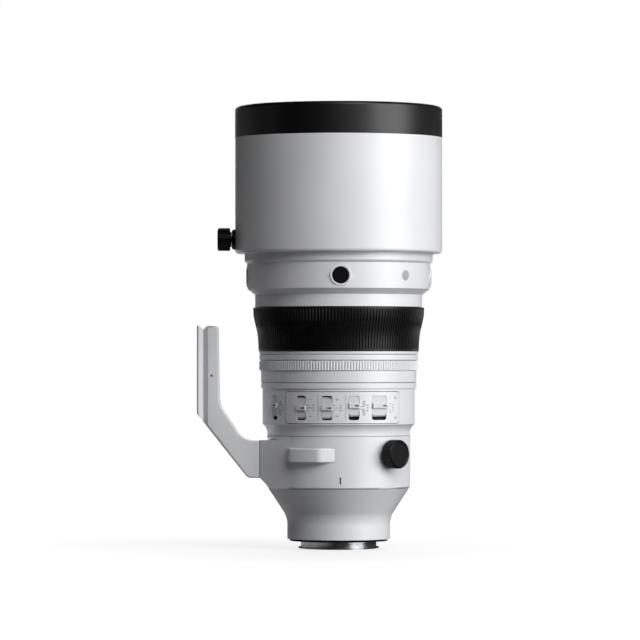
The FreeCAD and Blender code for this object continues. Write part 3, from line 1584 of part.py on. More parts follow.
def put_on_circle(item, radius, degrees):
    direction = around(1, degrees)
    bind(item, "Placement.Base.x", as_size(radius) * direction.x)
    bind(item, "Placement.Base.y", as_size(radius) * direction.y)


def make_blade(blade, floor_rear):
    rear = IRIS_FLOOR + size.layer_gap + size.blade_pitch * blade
    front = rear + size.blade_thickness
    angle = pivot_angle(blade)
    start = as_size(angle + QUARTER_TURN) - size.iris_lug_start_angle
    crescent = tube_sector(
        IRIS_OPEN + size.seat_gap, BLADE_OUTER, rear, front, start, size.blade_angle)
    lug = tube_sector(
        BLADE_OUTER - OVERCUT, IRIS_RIM - size.iris_lug_inset, rear, front, start, size.iris_lug_angle)
    pin = cylinder(size.iris_pin_radius, floor_rear, front)
    put_on_circle(pin, PIVOT_CIRCLE, angle)
    peg = cylinder(size.iris_peg_radius, rear, RING_FRONT)
    place = peg_place(blade, 0)
    peg.Placement.Base = FreeCAD.Vector(place.x, place.y, 0)
    bind(peg, "Placement.Base.z", rear)
    keep(fuse([crescent, lug, pin, peg]), f"iris_blade_{blade + 1}")


# Stabiliser: a frame that moves along X carries a lens cell that moves along Y
def make_stabiliser():
    rear = SWITCH_REAR + size.tube_step_length + size.tube_joint_length + size.stabiliser_standoff
    floor = rear + size.stabiliser_floor
    keep(turned_body([
        (STABILISER_BORE, rear),
        (STABILISER_OUTER, rear),
        (STABILISER_OUTER, rear + size.stabiliser_height),
        (STABILISER_RIM, rear + size.stabiliser_height),
        (STABILISER_RIM, floor),
        (STABILISER_BORE, floor),
    ]), "stabiliser_base")
    frame_rear = floor + size.layer_gap
    frame_front = frame_rear + size.stabiliser_frame_thickness
    keep(turned_body([
        (STABILISER_BORE, frame_rear),
        (STABILISER_FRAME, frame_rear),
        (STABILISER_FRAME, frame_front),
        (STABILISER_BORE, frame_front),
    ]), "stabiliser_frame")
    cell_rear = frame_front + size.layer_gap
    cell_front = cell_rear + size.stabiliser_cell_length
    seat = cell_rear + size.stabiliser_land
    land = STABILISER_LENS - size.land_width
    bore = STABILISER_LENS + size.glass_play
    keep(turned_body([
        (land, cell_rear),
        (STABILISER_CELL, cell_rear),
        (STABILISER_CELL, cell_front),
        (bore, cell_front),
        (bore, seat),
        (land, seat),
    ]), "stabiliser_cell")
    front = seat + size.stabiliser_lens_rim
    blank = cylinder(STABILISER_LENS, seat, front)
    keep(hollow_front(
        blank, size.stabiliser_curve, front - sag(size.stabiliser_curve, land)), "stabiliser_lens")


def make_rear_group():
    rear = size.flange_thickness + size.register_length
    front = rear + size.rear_cell_length
    lens_rear = rear + size.rear_lens_depth
    lens_front = lens_rear + size.rear_lens_rim
    lens_bore = REAR_LENS_RADIUS + size.glass_play
    land_front = lens_front + size.rear_land
    field_front = front - size.field_lens_depth
    field_rear = field_front - size.field_lens_rim
    field_bore = FIELD_LENS_RADIUS + size.glass_play
    field_land_rear = field_rear - size.rear_land
    keep(turned_body([
        (lens_bore, rear),
        (REGISTER_RADIUS, rear),
        (REGISTER_RADIUS, rear + size.rear_cell_flange),
        (REAR_CELL_RADIUS, rear + size.rear_cell_flange),
        (REAR_CELL_RADIUS, front),
        (field_bore, front),
        (field_bore, field_rear),
        (FIELD_LENS_RADIUS - size.land_width, field_rear),
        (FIELD_LENS_RADIUS - size.land_width, field_land_rear),
        (REAR_CELL_RADIUS - size.rear_tube_wall, field_land_rear - size.rear_tube_taper),
        (REAR_CELL_RADIUS - size.rear_tube_wall, land_front + size.rear_tube_taper),
        (REAR_LENS_RADIUS - size.rear_land, land_front),
        (REAR_LENS_RADIUS - size.rear_land, lens_front),
        (lens_bore, lens_front),
    ]), "rear_cell")
    rear_vertex = lens_rear - sag(size.rear_lens_curve, REAR_LENS_RADIUS)
    rear_lens = domed_rear(
        cylinder(REAR_LENS_RADIUS, rear_vertex, lens_front), size.rear_lens_curve, rear_vertex)
    field_vertex = field_front + sag(size.field_lens_curve, FIELD_LENS_RADIUS)
    field_lens = domed_front(
        cylinder(FIELD_LENS_RADIUS, field_rear, field_vertex), size.field_lens_curve, field_vertex)
    keep(group([rear_lens, field_lens]), "rear_lenses")


def check_everything():
    """Stops if any object failed or any sub-part isn't a sound solid."""
    for item in document.Objects:
        if "Invalid" in item.State or "Error" in item.State:
            raise RuntimeError(f"{item.Name} ({item.Label}) failed: {item.State} {item.getStatusString()}")
    for item in subparts:
        shape = item.Shape
        if shape.isNull() or not shape.isValid() or not shape.Solids:
            raise RuntimeError(f"{item.Label} has no sound solid")


def write_steps():
    os.makedirs("parts", exist_ok=True)
    for item in subparts:
        item.Shape.exportStep(f"parts/{item.Label}.step")
        box = item.Shape.BoundBox
        print(
            f"{item.Label}: {len(item.Shape.Solids)} solids, {item.Shape.Volume:.1f} mm3, "
            f"x {box.XMin:.2f} to {box.XMax:.2f}, y {box.YMin:.2f} to {box.YMax:.2f}, "
            f"z {box.ZMin:.2f} to {box.ZMax:.2f}")


make_mount()
make_contacts()
make_rear_barrel()
make_tubes()
make_collar()
first_bar = make_strap_bar(-size.bar_start_angle - size.bar_angle)
second_bar = make_strap_bar(size.bar_start_angle - HALF_TURN)
keep(group([first_bar, second_bar]), "strap_bars")
make_foot()
make_switch_barrel()
make_rings()
make_front_barrel()
make_buttons()
make_front_rings()
make_hood()
make_front_group()
make_focus_group()
make_iris()
make_stabiliser()
make_rear_group()
document.recompute()
check_everything()
write_steps()
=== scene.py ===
# %% [markdown]
# # A telephoto lens in a studio
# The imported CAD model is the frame. It is in metres, the optical axis is Z, and the switches face
# -Y. This script dresses it: each surface gets the finish of the real one, and each piece that
# shows is turned, ribbed or bevelled, then set on the body that carries it. Loading comes first,
# because every size below is either a workshop size in mm or is read from the frame.

# %% Load the frame
import json
import math

import bmesh
import bpy
from mathutils import Matrix, Vector


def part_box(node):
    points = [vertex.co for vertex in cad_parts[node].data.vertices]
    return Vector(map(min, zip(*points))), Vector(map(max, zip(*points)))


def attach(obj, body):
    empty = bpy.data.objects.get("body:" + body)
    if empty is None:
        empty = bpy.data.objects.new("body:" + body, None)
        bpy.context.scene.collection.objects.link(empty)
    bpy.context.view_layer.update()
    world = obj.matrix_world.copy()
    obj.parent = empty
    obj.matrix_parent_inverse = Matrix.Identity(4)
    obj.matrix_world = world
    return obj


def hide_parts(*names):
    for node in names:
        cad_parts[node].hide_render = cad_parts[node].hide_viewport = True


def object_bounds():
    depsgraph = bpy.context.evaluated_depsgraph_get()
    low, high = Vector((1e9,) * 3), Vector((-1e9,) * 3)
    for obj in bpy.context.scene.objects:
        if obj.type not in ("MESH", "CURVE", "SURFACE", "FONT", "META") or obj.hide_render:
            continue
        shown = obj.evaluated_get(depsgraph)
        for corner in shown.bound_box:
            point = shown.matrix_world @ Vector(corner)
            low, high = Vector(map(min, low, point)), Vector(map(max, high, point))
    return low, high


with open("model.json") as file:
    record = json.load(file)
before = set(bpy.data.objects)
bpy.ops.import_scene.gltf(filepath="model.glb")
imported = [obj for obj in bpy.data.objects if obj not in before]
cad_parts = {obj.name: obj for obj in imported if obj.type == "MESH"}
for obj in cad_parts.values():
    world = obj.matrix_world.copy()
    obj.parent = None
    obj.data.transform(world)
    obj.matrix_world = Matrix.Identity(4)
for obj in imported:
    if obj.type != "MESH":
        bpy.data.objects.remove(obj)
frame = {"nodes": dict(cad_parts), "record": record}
cad_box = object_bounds()
nodes = frame["nodes"]
behaviour = frame["record"]["behaviour"]
body_of = {node: body for body, names in behaviour["bodies"].items() for node in names}
slot_of = {part["node"]: part["material_slot"] for part in frame["record"]["subparts"]}

# %% [markdown]
# ## Units
# A lens maker works in millimetres and Blender in metres, so MM turns one into the other. A
# texture's Scale counts features per metre, and `per_metre` finds it from the size of one feature.
# Round shapes are turned in fine steps, and edges sharper than SMOOTH_ANGLE stay sharp.

# %% Units
MM = 0.001
FULL_TURN = 2 * math.pi
TURN_STEPS = 192
SMALL_TURN_STEPS = 64
ROUND_SEGMENTS = 5
SMOOTH_ANGLE = math.radians(35)
FLAT_ANGLE = math.radians(0.5)
MERGE_DISTANCE = 0.001 * MM


def per_metre(feature):
    return 1 / (feature * MM)


print("a grain of 1 mm repeats", round(per_metre(1)), "times in a metre")

# %% [markdown]
# ## Colours
# Paint and plastic colours are written as sRGB hex codes, as on a colour card. The renderer counts
# light linearly, so one function turns a code into linear values.

# %% Colours
def hex_colour(code):
    channels = [int(code[i:i + 2], 16) / 255 for i in (0, 2, 4)]
    linear = [c / 12.92 if c <= 0.04045 else ((c + 0.055) / 1.055) ** 2.4 for c in channels]
    return (*linear, 1.0)


print("sRGB grey 808080 is linear", round(hex_colour("808080")[0], 3))

# %% [markdown]
# ## Shader graphs
# A finish is a small graph of nodes. `add_node` places one node and feeds its inputs, each by a
# value or by the output of a node before it, so a finish reads downwards as a list of steps.
# `close_graph` ends every finish with the surface shader. Patterns read Object coordinates, which
# here are the frame's own, so a pattern keeps its true size on every piece. A noise seldom leaves
# the middle of its range, so NOISE_SPAN is what a Map Range node stretches to the full range.

# %% Shader graphs
NOISE_SPAN = {"From Min": 0.3, "From Max": 0.7}


def add_node(tree, kind, inputs=None, **settings):
    node = tree.nodes.new("ShaderNode" + kind)
    for key, value in settings.items():
        setattr(node, key, value)
    for name, value in (inputs or {}).items():
        if isinstance(value, bpy.types.NodeSocket):
            tree.links.new(value, node.inputs[name])
        else:
            node.inputs[name].default_value = value
    return node


def open_graph(name):
    material = bpy.data.materials.new(name)
    material.use_nodes = True
    material.node_tree.nodes.clear()
    print("finish", name)
    return material, material.node_tree


def close_graph(tree, inputs):
    shader = add_node(tree, "BsdfPrincipled", inputs)
    add_node(tree, "OutputMaterial", {"Surface": shader.outputs["BSDF"]})


# %% [markdown]
# ## Satin paint
# The barrel is aluminium with a baked satin paint. A plain white shader would look like plaster.
# Close up the real one has a soft orange peel about 1 mm across, a powder grain of a quarter of a
# millimetre, and a gloss that is not quite even, so both bumps and the roughness come from noise.
# A thin clear coat gives the broad bright band along the lit side.

# %% Satin paint
PEEL = 1.1
POWDER = 0.25
PEEL_DEPTH = 0.02
POWDER_DEPTH = 0.006
GLOSS_PATCH = 6.0
GLOSSIER, DULLER = -0.05, 0.06
TONE_PATCH = 35.0


def satin_paint(name, light, shade, roughness):
    material, tree = open_graph(name)
    place = add_node(tree, "TexCoord").outputs["Object"]
    tone = add_node(tree, "TexNoise", {"Vector": place, "Scale": per_metre(TONE_PATCH)})
    share = add_node(tree, "MapRange", {"Value": tone.outputs["Fac"], **NOISE_SPAN})
    colour = add_node(tree, "MixRGB", {
        "Fac": share.outputs["Result"], "Color1": hex_colour(shade), "Color2": hex_colour(light)})
    gloss = add_node(tree, "TexNoise", {
        "Vector": place, "Scale": per_metre(GLOSS_PATCH), "Detail": 4.0})
    rough = add_node(tree, "MapRange", {
        "Value": gloss.outputs["Fac"], **NOISE_SPAN,
        "To Min": roughness + GLOSSIER, "To Max": roughness + DULLER})
    peel = add_node(tree, "TexNoise", {"Vector": place, "Scale": per_metre(PEEL)})
    peel_bump = add_node(tree, "Bump", {
        "Height": peel.outputs["Fac"], "Distance": PEEL_DEPTH * MM})
    powder = add_node(tree, "TexNoise", {
        "Vector": place, "Scale": per_metre(POWDER), "Detail": 3.0})
    bump = add_node(tree, "Bump", {
        "Height": powder.outputs["Fac"], "Distance": POWDER_DEPTH * MM,
        "Normal": peel_bump.outputs["Normal"]})
    close_graph(tree, {
        "Base Color": colour.outputs["Color"],
        "Roughness": rough.outputs["Result"], "Normal": bump.outputs["Normal"],
        "Coat Weight": 0.6, "Coat Roughness": 0.38})
    return material


# Baked satin paint of the castings: cool white, with a broad soft highlight
white_paint = satin_paint("baked_satin_paint", "E9EAEC", "E4E5E8", 0.42)
# Painted hood seat, wiped by the hood each time: the same white with a tighter highlight
seat_paint = satin_paint("wiped_satin_paint", "E8E9EB", "E1E2E5", 0.34)
# Painted pressed plate under the switches: smoother than the castings
panel_paint = satin_paint("smooth_plate_paint", "EAEBED", "E6E7EA", 0.36)

# %% [markdown]
# ## Rubber and moulded plastic
# Rubber grips and moulded plastic are both a dark or pale body with a moulded-in grain. The grain
# is a bump whose size is that of the mould's spark-eroded surface. The base colour drifts over a
# few millimetres, as a dusty bloom does. A low specular level keeps black rubber black at the
# dark side and leaves one soft band of light on the other.

# %% Rubber and moulded plastic
GRAINS_TO_A_PATCH = 14
SMOOTH_GRAIN, COARSE_GRAIN = -0.06, 0.08


def moulded(name, body, bloom, roughness, grain, depth, specular=0.5):
    material, tree = open_graph(name)
    place = add_node(tree, "TexCoord").outputs["Object"]
    drift = add_node(tree, "TexNoise", {
        "Vector": place, "Scale": per_metre(grain * GRAINS_TO_A_PATCH), "Detail": 4.0})
    share = add_node(tree, "MapRange", {"Value": drift.outputs["Fac"], **NOISE_SPAN})
    colour = add_node(tree, "MixRGB", {
        "Fac": share.outputs["Result"], "Color1": hex_colour(body), "Color2": hex_colour(bloom)})
    texture = add_node(tree, "TexNoise", {
        "Vector": place, "Scale": per_metre(grain), "Detail": 3.0})
    rough = add_node(tree, "MapRange", {
        "Value": texture.outputs["Fac"], **NOISE_SPAN,
        "To Min": roughness + SMOOTH_GRAIN, "To Max": roughness + COARSE_GRAIN})
    bump = add_node(tree, "Bump", {"Height": texture.outputs["Fac"], "Distance": depth * MM})
    close_graph(tree, {
        "Base Color": colour.outputs["Color"],
        "Roughness": rough.outputs["Result"], "Normal": bump.outputs["Normal"],
        "Specular IOR Level": specular})
    return material


# Nitrile rubber of the focus grip: deep black, a faint line of light on each rib
grip_rubber = moulded("ribbed_nitrile_rubber", "060607", "0B0B0C", 0.4, 0.35, 0.015, 0.35)
# Rubber of the hood's end: smoother, so it takes one clear soft highlight
end_rubber = moulded("smooth_nitrile_rubber", "070708", "0C0C0D", 0.38, 0.3, 0.008)
# Silicone gasket and felt seals: blacker and matt
gasket_rubber = moulded("silicone_gasket", "050506", "09090A", 0.6, 0.5, 0.008, 0.2)
# Spark-eroded polycarbonate of knobs and buttons: a tight dark sheen
black_plastic = moulded("black_polycarbonate", "09090A", "101011", 0.34, 0.28, 0.01, 0.22)
# Glass-filled nylon of the contact block: dull charcoal
contact_plastic = moulded("glass_filled_nylon", "0B0B0C", "131314", 0.55, 0.3, 0.01)
# White ABS of the slide switches: slightly greyer than the paint beside it
slider_plastic = moulded("white_abs", "D2D3D5", "DADBDC", 0.42, 0.3, 0.006)
# Grey ABS cap pressed into the barrel: mid grey, soft
cap_plastic = moulded("grey_abs", "A4A6A9", "AEB0B3", 0.42, 0.3, 0.006)
# Acetal clamp pads: milky and waxy
pad_plastic = moulded("milky_acetal", "D8D6D0", "E2E0DA", 0.35, 0.4, 0.004)
# Screen-printed black ink: flat and dry beside the satin paint
print_ink = moulded("black_screen_ink", "0B0B0C", "151517", 0.6, 0.12, 0.004)
# Thinner grey ink of the small numbers
grey_ink = moulded("grey_screen_ink", "5A5B5E", "66676A", 0.6, 0.12, 0.004)

# %% [markdown]
# ## Turned metal
# Plate, screws and tubes come off a lathe, whose cutter leaves rings finer than a tenth of a
# millimetre. Noise read only along the radius and the height makes such rings. They are drawn a
# little coarser than real, so that they still show, and they pull each highlight out along them.

# %% Turned metal
TARNISH_PATCH = 5.0
RING_SHINE, RING_DULL = -0.04, 0.06


def turned_metal(name, bright, dull, roughness, pitch, depth):
    material, tree = open_graph(name)
    place = add_node(tree, "TexCoord").outputs["Object"]
    parts = add_node(tree, "SeparateXYZ", {"Vector": place})
    across = add_node(tree, "CombineXYZ", {"X": parts.outputs["X"], "Y": parts.outputs["Y"]})
    radius = add_node(tree, "VectorMath", {0: across.outputs["Vector"]}, operation="LENGTH")
    lathe = add_node(tree, "CombineXYZ", {"X": radius.outputs["Value"], "Z": parts.outputs["Z"]})
    rings = add_node(tree, "TexNoise", {
        "Vector": lathe.outputs["Vector"], "Scale": per_metre(pitch), "Detail": 1.0})
    rough = add_node(tree, "MapRange", {
        "Value": rings.outputs["Fac"], **NOISE_SPAN,
        "To Min": roughness + RING_SHINE, "To Max": roughness + RING_DULL})
    bump = add_node(tree, "Bump", {"Height": rings.outputs["Fac"], "Distance": depth * MM})
    tarnish = add_node(tree, "TexNoise", {
        "Vector": place, "Scale": per_metre(TARNISH_PATCH), "Detail": 3.0})
    share = add_node(tree, "MapRange", {"Value": tarnish.outputs["Fac"], **NOISE_SPAN})
    colour = add_node(tree, "MixRGB", {
        "Fac": share.outputs["Result"], "Color1": hex_colour(dull), "Color2": hex_colour(bright)})
    close_graph(tree, {
        "Base Color": colour.outputs["Color"],
        "Metallic": 1.0, "Roughness": rough.outputs["Result"], "Normal": bump.outputs["Normal"]})
    return material


# Chromed brass of the bayonet: bright, black and white by turns, its light drawn out by the rings
mount_steel = turned_metal("chromed_brass", "D0D2D5", "BDC0C4", 0.2, 0.3, 0.003)
# Bare steel of screws and guide rods: grey and softer
screw_steel = turned_metal("bare_turned_steel", "B4B6B8", "9FA1A4", 0.28, 0.15, 0.002)
# Turned aluminium of the inner tubes: pale, clearly ringed
bare_aluminium = turned_metal("turned_aluminium", "B9BABD", "A7A9AC", 0.32, 0.3, 0.003)
# Black anodised aluminium of cells and filter ring: dark, with the metal's sharp light kept
black_anodised = turned_metal("black_anodised_aluminium", "1B1C1F", "131416", 0.36, 0.3, 0.003)
# Blued spring steel of the iris blades: nearly black with a cold sheen
blade_steel = turned_metal("blued_spring_steel", "2A2B2E", "202124", 0.4, 0.2, 0.001)
# Hard gold plating of the contacts: warm and clean
contact_gold = turned_metal("hard_gold_plating", "E0B866", "C9A04F", 0.2, 0.1, 0.001)

# %% [markdown]
# ## Coated glass, flock and circuit board
# Optical glass carries a coating thinner than light's wavelength. A thin film on the shader tints
# the reflections green or amber as the coating does. Inside the hood a flock of short fibres
# swallows the light, and a soft sheen at grazing angles gives it away. The board is green solder
# mask over copper tracks.

# %% Coated glass, flock and circuit board
SMEAR = 12.0
SMEAR_ROUGHNESS = 0.02
FIBRE = 0.3
FIBRE_LENGTH = 0.25
TRACK = 3.2
TRACK_RELIEF = 0.02


def coated_glass(name, colour, film):
    material, tree = open_graph(name)
    place = add_node(tree, "TexCoord").outputs["Object"]
    smear = add_node(tree, "TexNoise", {
        "Vector": place, "Scale": per_metre(SMEAR), "Detail": 4.0})
    rough = add_node(tree, "MapRange", {
        "Value": smear.outputs["Fac"], **NOISE_SPAN, "To Max": SMEAR_ROUGHNESS})
    close_graph(tree, {
        "Base Color": hex_colour(colour), "Roughness": rough.outputs["Result"], "IOR": 1.55,
        "Transmission Weight": 1.0, "Thin Film Thickness": film, "Thin Film IOR": 1.38})
    return material


def flock(name, dark, tip):
    material, tree = open_graph(name)
    place = add_node(tree, "TexCoord").outputs["Object"]
    fibres = add_node(tree, "TexNoise", {
        "Vector": place, "Scale": per_metre(FIBRE), "Detail": 4.0})
    share = add_node(tree, "MapRange", {"Value": fibres.outputs["Fac"], **NOISE_SPAN})
    colour = add_node(tree, "MixRGB", {
        "Fac": share.outputs["Result"], "Color1": hex_colour(dark), "Color2": hex_colour(tip)})
    bump = add_node(tree, "Bump", {
        "Height": fibres.outputs["Fac"], "Distance": FIBRE_LENGTH * MM})
    close_graph(tree, {
        "Base Color": colour.outputs["Color"], "Roughness": 0.95,
        "Normal": bump.outputs["Normal"], "Sheen Weight": 0.25, "Sheen Roughness": 0.5})
    return material


def solder_mask(name, mask, track):
    material, tree = open_graph(name)
    place = add_node(tree, "TexCoord").outputs["Object"]
    tracks = add_node(tree, "TexBrick", {
        "Vector": place, "Scale": per_metre(TRACK), "Mortar Size": 0.03,
        "Color1": hex_colour(mask), "Color2": hex_colour(mask), "Mortar": hex_colour(track)})
    bump = add_node(tree, "Bump", {
        "Height": tracks.outputs["Fac"], "Distance": TRACK_RELIEF * MM})
    close_graph(tree, {
        "Base Color": tracks.outputs["Color"], "Roughness": 0.3,
        "Normal": bump.outputs["Normal"]})
    return material


# Front element: a green-tinted coating; inner elements: amber
front_glass = coated_glass("green_coated_glass", "F4FAF7", 420)
inner_glass = coated_glass("amber_coated_glass", "F8F7F1", 330)
# Nylon flock: no highlight at all, a grey breath at the rim
flocking = flock("black_nylon_flock", "060607", "0F0F11")
# Solder mask: glossy green with lighter tracks
board = solder_mask("green_solder_mask", "0E4A30", "1F6A45")

# %% [markdown]
# ## Hand the finishes out
# The record names a material slot for each node. The same table serves the CAD nodes, which take
# their finish here, and the new pieces, which take the finish of the node that they stand for.

# %% Hand the finishes out
finish_of = {
    "mount_steel": mount_steel, "screw_steel": screw_steel, "gasket_rubber": gasket_rubber,
    "grip_rubber": grip_rubber, "contact_block": contact_plastic, "contact_gold": contact_gold,
    "white_paint": white_paint, "seat_ring_paint": seat_paint, "panel_paint": panel_paint,
    "bare_aluminium": bare_aluminium, "black_anodised": black_anodised, "front_glass": front_glass,
    "inner_glass": inner_glass, "board": board, "black_plastic": black_plastic,
    "slider_plastic": slider_plastic, "cap_plastic": cap_plastic, "pad_plastic": pad_plastic,
    "flocking": flocking, "blade_steel": blade_steel,
}
for node, item in nodes.items():
    item.data.materials.clear()
    item.data.materials.append(finish_of[slot_of[node]])
print(len(finish_of), "slots have a finish")

# %% [markdown]
# ## Turning on a lathe
# Nearly every shell of a lens is turned, so it could be drawn as stacked cylinders, but a lathe
# works from a section. Half the section is drawn as a wire in the XZ plane, its corners are
# rounded by a vertex bevel, and one spin about Z makes the solid. A wire that begins and ends on
# the axis is left open there, and its poles close when the doubles are merged.

# %% Turning on a lathe
def extent(node):
    """A turned node's largest radius and its two heights, in mm."""
    low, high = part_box(node)
    return high[0] / MM, low[2] / MM, high[2] / MM


def add_outline(bm, points):
    """A wire in the XZ plane. A point is a radius, a height and, for a round, its reach."""
    verts = [bm.verts.new((radius * MM, 0, height * MM)) for radius, height, *_ in points]
    ends = [] if points[0][0] == points[-1][0] == 0 else [(verts[-1], verts[0])]
    for pair in [*zip(verts, verts[1:]), *ends]:
        bm.edges.new(pair)
    for vert, (_, _, *reach) in zip(verts, points):
        if reach:
            bmesh.ops.bevel(
                bm, geom=[vert], offset=reach[0] * MM, segments=ROUND_SEGMENTS, profile=0.5,
                affect="VERTICES", material=-1)


def whole(bm):
    return bm.verts[:] + bm.edges[:] + bm.faces[:]


def turned(points, steps=TURN_STEPS):
    bm = bmesh.new()
    add_outline(bm, points)
    bmesh.ops.spin(
        bm, geom=whole(bm), axis=(0, 0, 1), angle=FULL_TURN, steps=steps, use_merge=True)
    bmesh.ops.remove_doubles(bm, verts=bm.verts, dist=MERGE_DISTANCE)
    return bm


# %% [markdown]
# ## Ribs round a ring
# A grip has well over a hundred equal ribs. Each could be cut from the ring, but adding them is
# simpler: one bar is drawn from its side view, given its width by a small spin, its two long outer
# edges are broken, and a second spin repeats it round the axis as copies. Each rib starts a little
# way inside its ring, RIB_ROOT, so that no gap shows under it.

# %% Ribs round a ring
RIB_ROOT = 0.2


def bars(points, count, width, edge):
    bm = bmesh.new()
    add_outline(bm, points)
    reach = max(radius for radius, *_ in points)
    span = width / reach
    bmesh.ops.rotate(bm, verts=bm.verts, matrix=Matrix.Rotation(-span / 2, 3, "Z"))
    bmesh.ops.spin(bm, geom=whole(bm), axis=(0, 0, 1), angle=span, steps=1)
    bmesh.ops.holes_fill(bm, edges=bm.edges)
    bmesh.ops.recalc_face_normals(bm, faces=bm.faces)
    # The long outer edges lie above the bar's middle and border one of its many-sided flanks
    middle = sum(vert.co.xy.length for vert in bm.verts) / len(bm.verts)
    crests = [
        line for line in bm.edges if line.calc_face_angle(0) > SMOOTH_ANGLE
        and min(vert.co.xy.length for vert in line.verts) > middle
        and max(len(face.verts) for face in line.link_faces) > 4]
    bmesh.ops.bevel(
        bm, geom=crests, offset=edge * MM, segments=1, profile=0.5, affect="EDGES", material=-1)
    bmesh.ops.spin(
        bm, geom=whole(bm), axis=(0, 0, 1), angle=FULL_TURN * (count - 1) / count,
        steps=count - 1, use_duplicate=True)
    return bm


# %% [markdown]
# ## Copies of the castings
# A casting with bosses and pockets is not a turned shape, and the CAD already has it right. Its
# mesh is loose triangles, so a copy is merged, its flat areas are joined to single faces, and its
# sharp edges are broken, because paint pulls back from a knife edge and a broken edge catches
# light.

# %% Copies of the castings
def merged_copy(node, edge=0.0, chosen=None):
    bm = bmesh.new()
    bm.from_mesh(nodes[node].data)
    bmesh.ops.remove_doubles(bm, verts=bm.verts, dist=MERGE_DISTANCE)
    bmesh.ops.recalc_face_normals(bm, faces=bm.faces)
    bmesh.ops.dissolve_limit(bm, angle_limit=FLAT_ANGLE, verts=bm.verts, edges=bm.edges)
    sharp = [
        line for line in bm.edges
        if line.calc_face_angle(0) > SMOOTH_ANGLE and (chosen is None or chosen(line))]
    if edge:
        bmesh.ops.bevel(
            bm, geom=sharp, offset=edge * MM, segments=2, profile=0.5, affect="EDGES",
            clamp_overlap=True, material=-1)
    return bm


# %% [markdown]
# ## Flat work and its place on the barrel
# Plates, marks and numbers are drawn flat, with X along the arc, Z up the barrel and -Y away from
# it. `wrap` bends such a drawing round the axis. `radial_place` is for what stays flat or round and
# only has to point outwards, such as a knob drawn upright about Z.

# %% Flat work and its place on the barrel
CAPITAL_SHARE = 0.7


def push_out(bm, faces, vector):
    """Extrude the faces by a vector in metres."""
    grown = bmesh.ops.extrude_face_region(bm, geom=faces)["geom"]
    moved = [item for item in grown if isinstance(item, bmesh.types.BMVert)]
    bmesh.ops.translate(bm, verts=moved, vec=vector)


def rounded_plate(width, length, corner, near, far, bends=0, rim=0.0):
    """A plate, or a frame with a rim, from near to far mm along -Y. bends cuts it for wrapping."""
    half, tall = width / 2, length / 2
    corners = ((-half, -tall), (half, -tall), (half, tall), (-half, tall))
    bm = bmesh.new()
    add_outline(bm, [(x, z, corner) for x, z in corners])
    bmesh.ops.contextual_create(bm, geom=bm.edges[:])
    if rim:
        inner = bm.faces[:]
        bmesh.ops.inset_region(
            bm, faces=inner, thickness=rim * MM, use_even_offset=True, use_boundary=True)
        bmesh.ops.delete(bm, geom=inner, context="FACES")
    push_out(bm, bm.faces[:], (0, (near - far) * MM, 0))
    bmesh.ops.translate(bm, verts=bm.verts, vec=(0, -near * MM, 0))
    for i in range(1, bends):
        bmesh.ops.bisect_plane(
            bm, geom=whole(bm), plane_co=((i / bends - 0.5) * width * MM, 0, 0),
            plane_no=(1, 0, 0))
    return bm


def lettering(text, height, near, far):
    """Numbers or words that read upwards, `height` mm tall, made a mesh before they are placed."""
    curve = bpy.data.curves.new("lettering", "FONT")
    curve.body = text
    curve.size = height / CAPITAL_SHARE * MM
    curve.align_x, curve.align_y = "CENTER", "CENTER"
    curve.extrude = (far - near) / 2 * MM
    item = bpy.data.objects.new("lettering", curve)
    mesh = bpy.data.meshes.new_from_object(item)
    bm = bmesh.new()
    bm.from_mesh(mesh)
    upright = Matrix.Rotation(math.pi / 2, 3, "X") @ Matrix.Rotation(math.pi / 2, 3, "Z")
    bmesh.ops.rotate(bm, verts=bm.verts, matrix=upright)
    bmesh.ops.translate(bm, verts=bm.verts, vec=(0, -(near + far) / 2 * MM, 0))
    bpy.data.objects.remove(item)
    bpy.data.curves.remove(curve)
    bpy.data.meshes.remove(mesh)
    return bm


def shifted(bm, across, up):
    bmesh.ops.translate(bm, verts=bm.verts, vec=(across * MM, 0, up * MM))
    return bm


def wrap(bm, radius, azimuth, height):
    for vert in bm.verts:
        angle = math.radians(azimuth) + vert.co.x / (radius * MM)
        reach = radius * MM - vert.co.y
        vert.co = (reach * math.sin(angle), -reach * math.cos(angle), vert.co.z + height * MM)
    return bm


def radial_place(azimuth, height):
    angle = math.radians(azimuth)
    outward = Vector((math.sin(angle), -math.cos(angle), 0))
    across = Vector((math.cos(angle), math.sin(angle), 0))
    turn = Matrix((across, (0, 0, 1), outward)).transposed().to_4x4()
    return Matrix.Translation((0, 0, height * MM)) @ turn


# %% [markdown]
# ## Making a piece
# `joined` puts several shapes into one mesh. `make_piece` then merges doubles, turns all faces
# outwards, smooths the round areas, and gives the mesh to an object that rides on the body of its
# node. A weighted normal modifier lets large faces rule the shading, so slivers don't streak it.
# The place is in the mesh, so the object itself stays at the origin.

# %% Making a piece
def joined(first, *others):
    for other in others:
        part = bpy.data.meshes.new("part")
        other.to_mesh(part)
        other.free()
        first.from_mesh(part)
        bpy.data.meshes.remove(part)
    return first


def make_piece(name, bm, node, finish=None, slot=None, place=None):
    if place:
        bmesh.ops.transform(bm, matrix=place, verts=bm.verts)
    bmesh.ops.remove_doubles(bm, verts=bm.verts, dist=MERGE_DISTANCE)
    bmesh.ops.recalc_face_normals(bm, faces=bm.faces)
    mesh = bpy.data.meshes.new(name)
    bm.to_mesh(mesh)
    bm.free()
    mesh.shade_smooth()
    mesh.set_sharp_from_angle(angle=SMOOTH_ANGLE)
    mesh.materials.append(finish or finish_of[slot or slot_of[node]])
    piece = bpy.data.objects.new(name, mesh)
    piece.modifiers.new("even_shading", "WEIGHTED_NORMAL").keep_sharp = True
    bpy.context.collection.objects.link(piece)
    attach(piece, body_of[node])
    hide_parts(node)
    print(name, len(mesh.polygons), "faces")


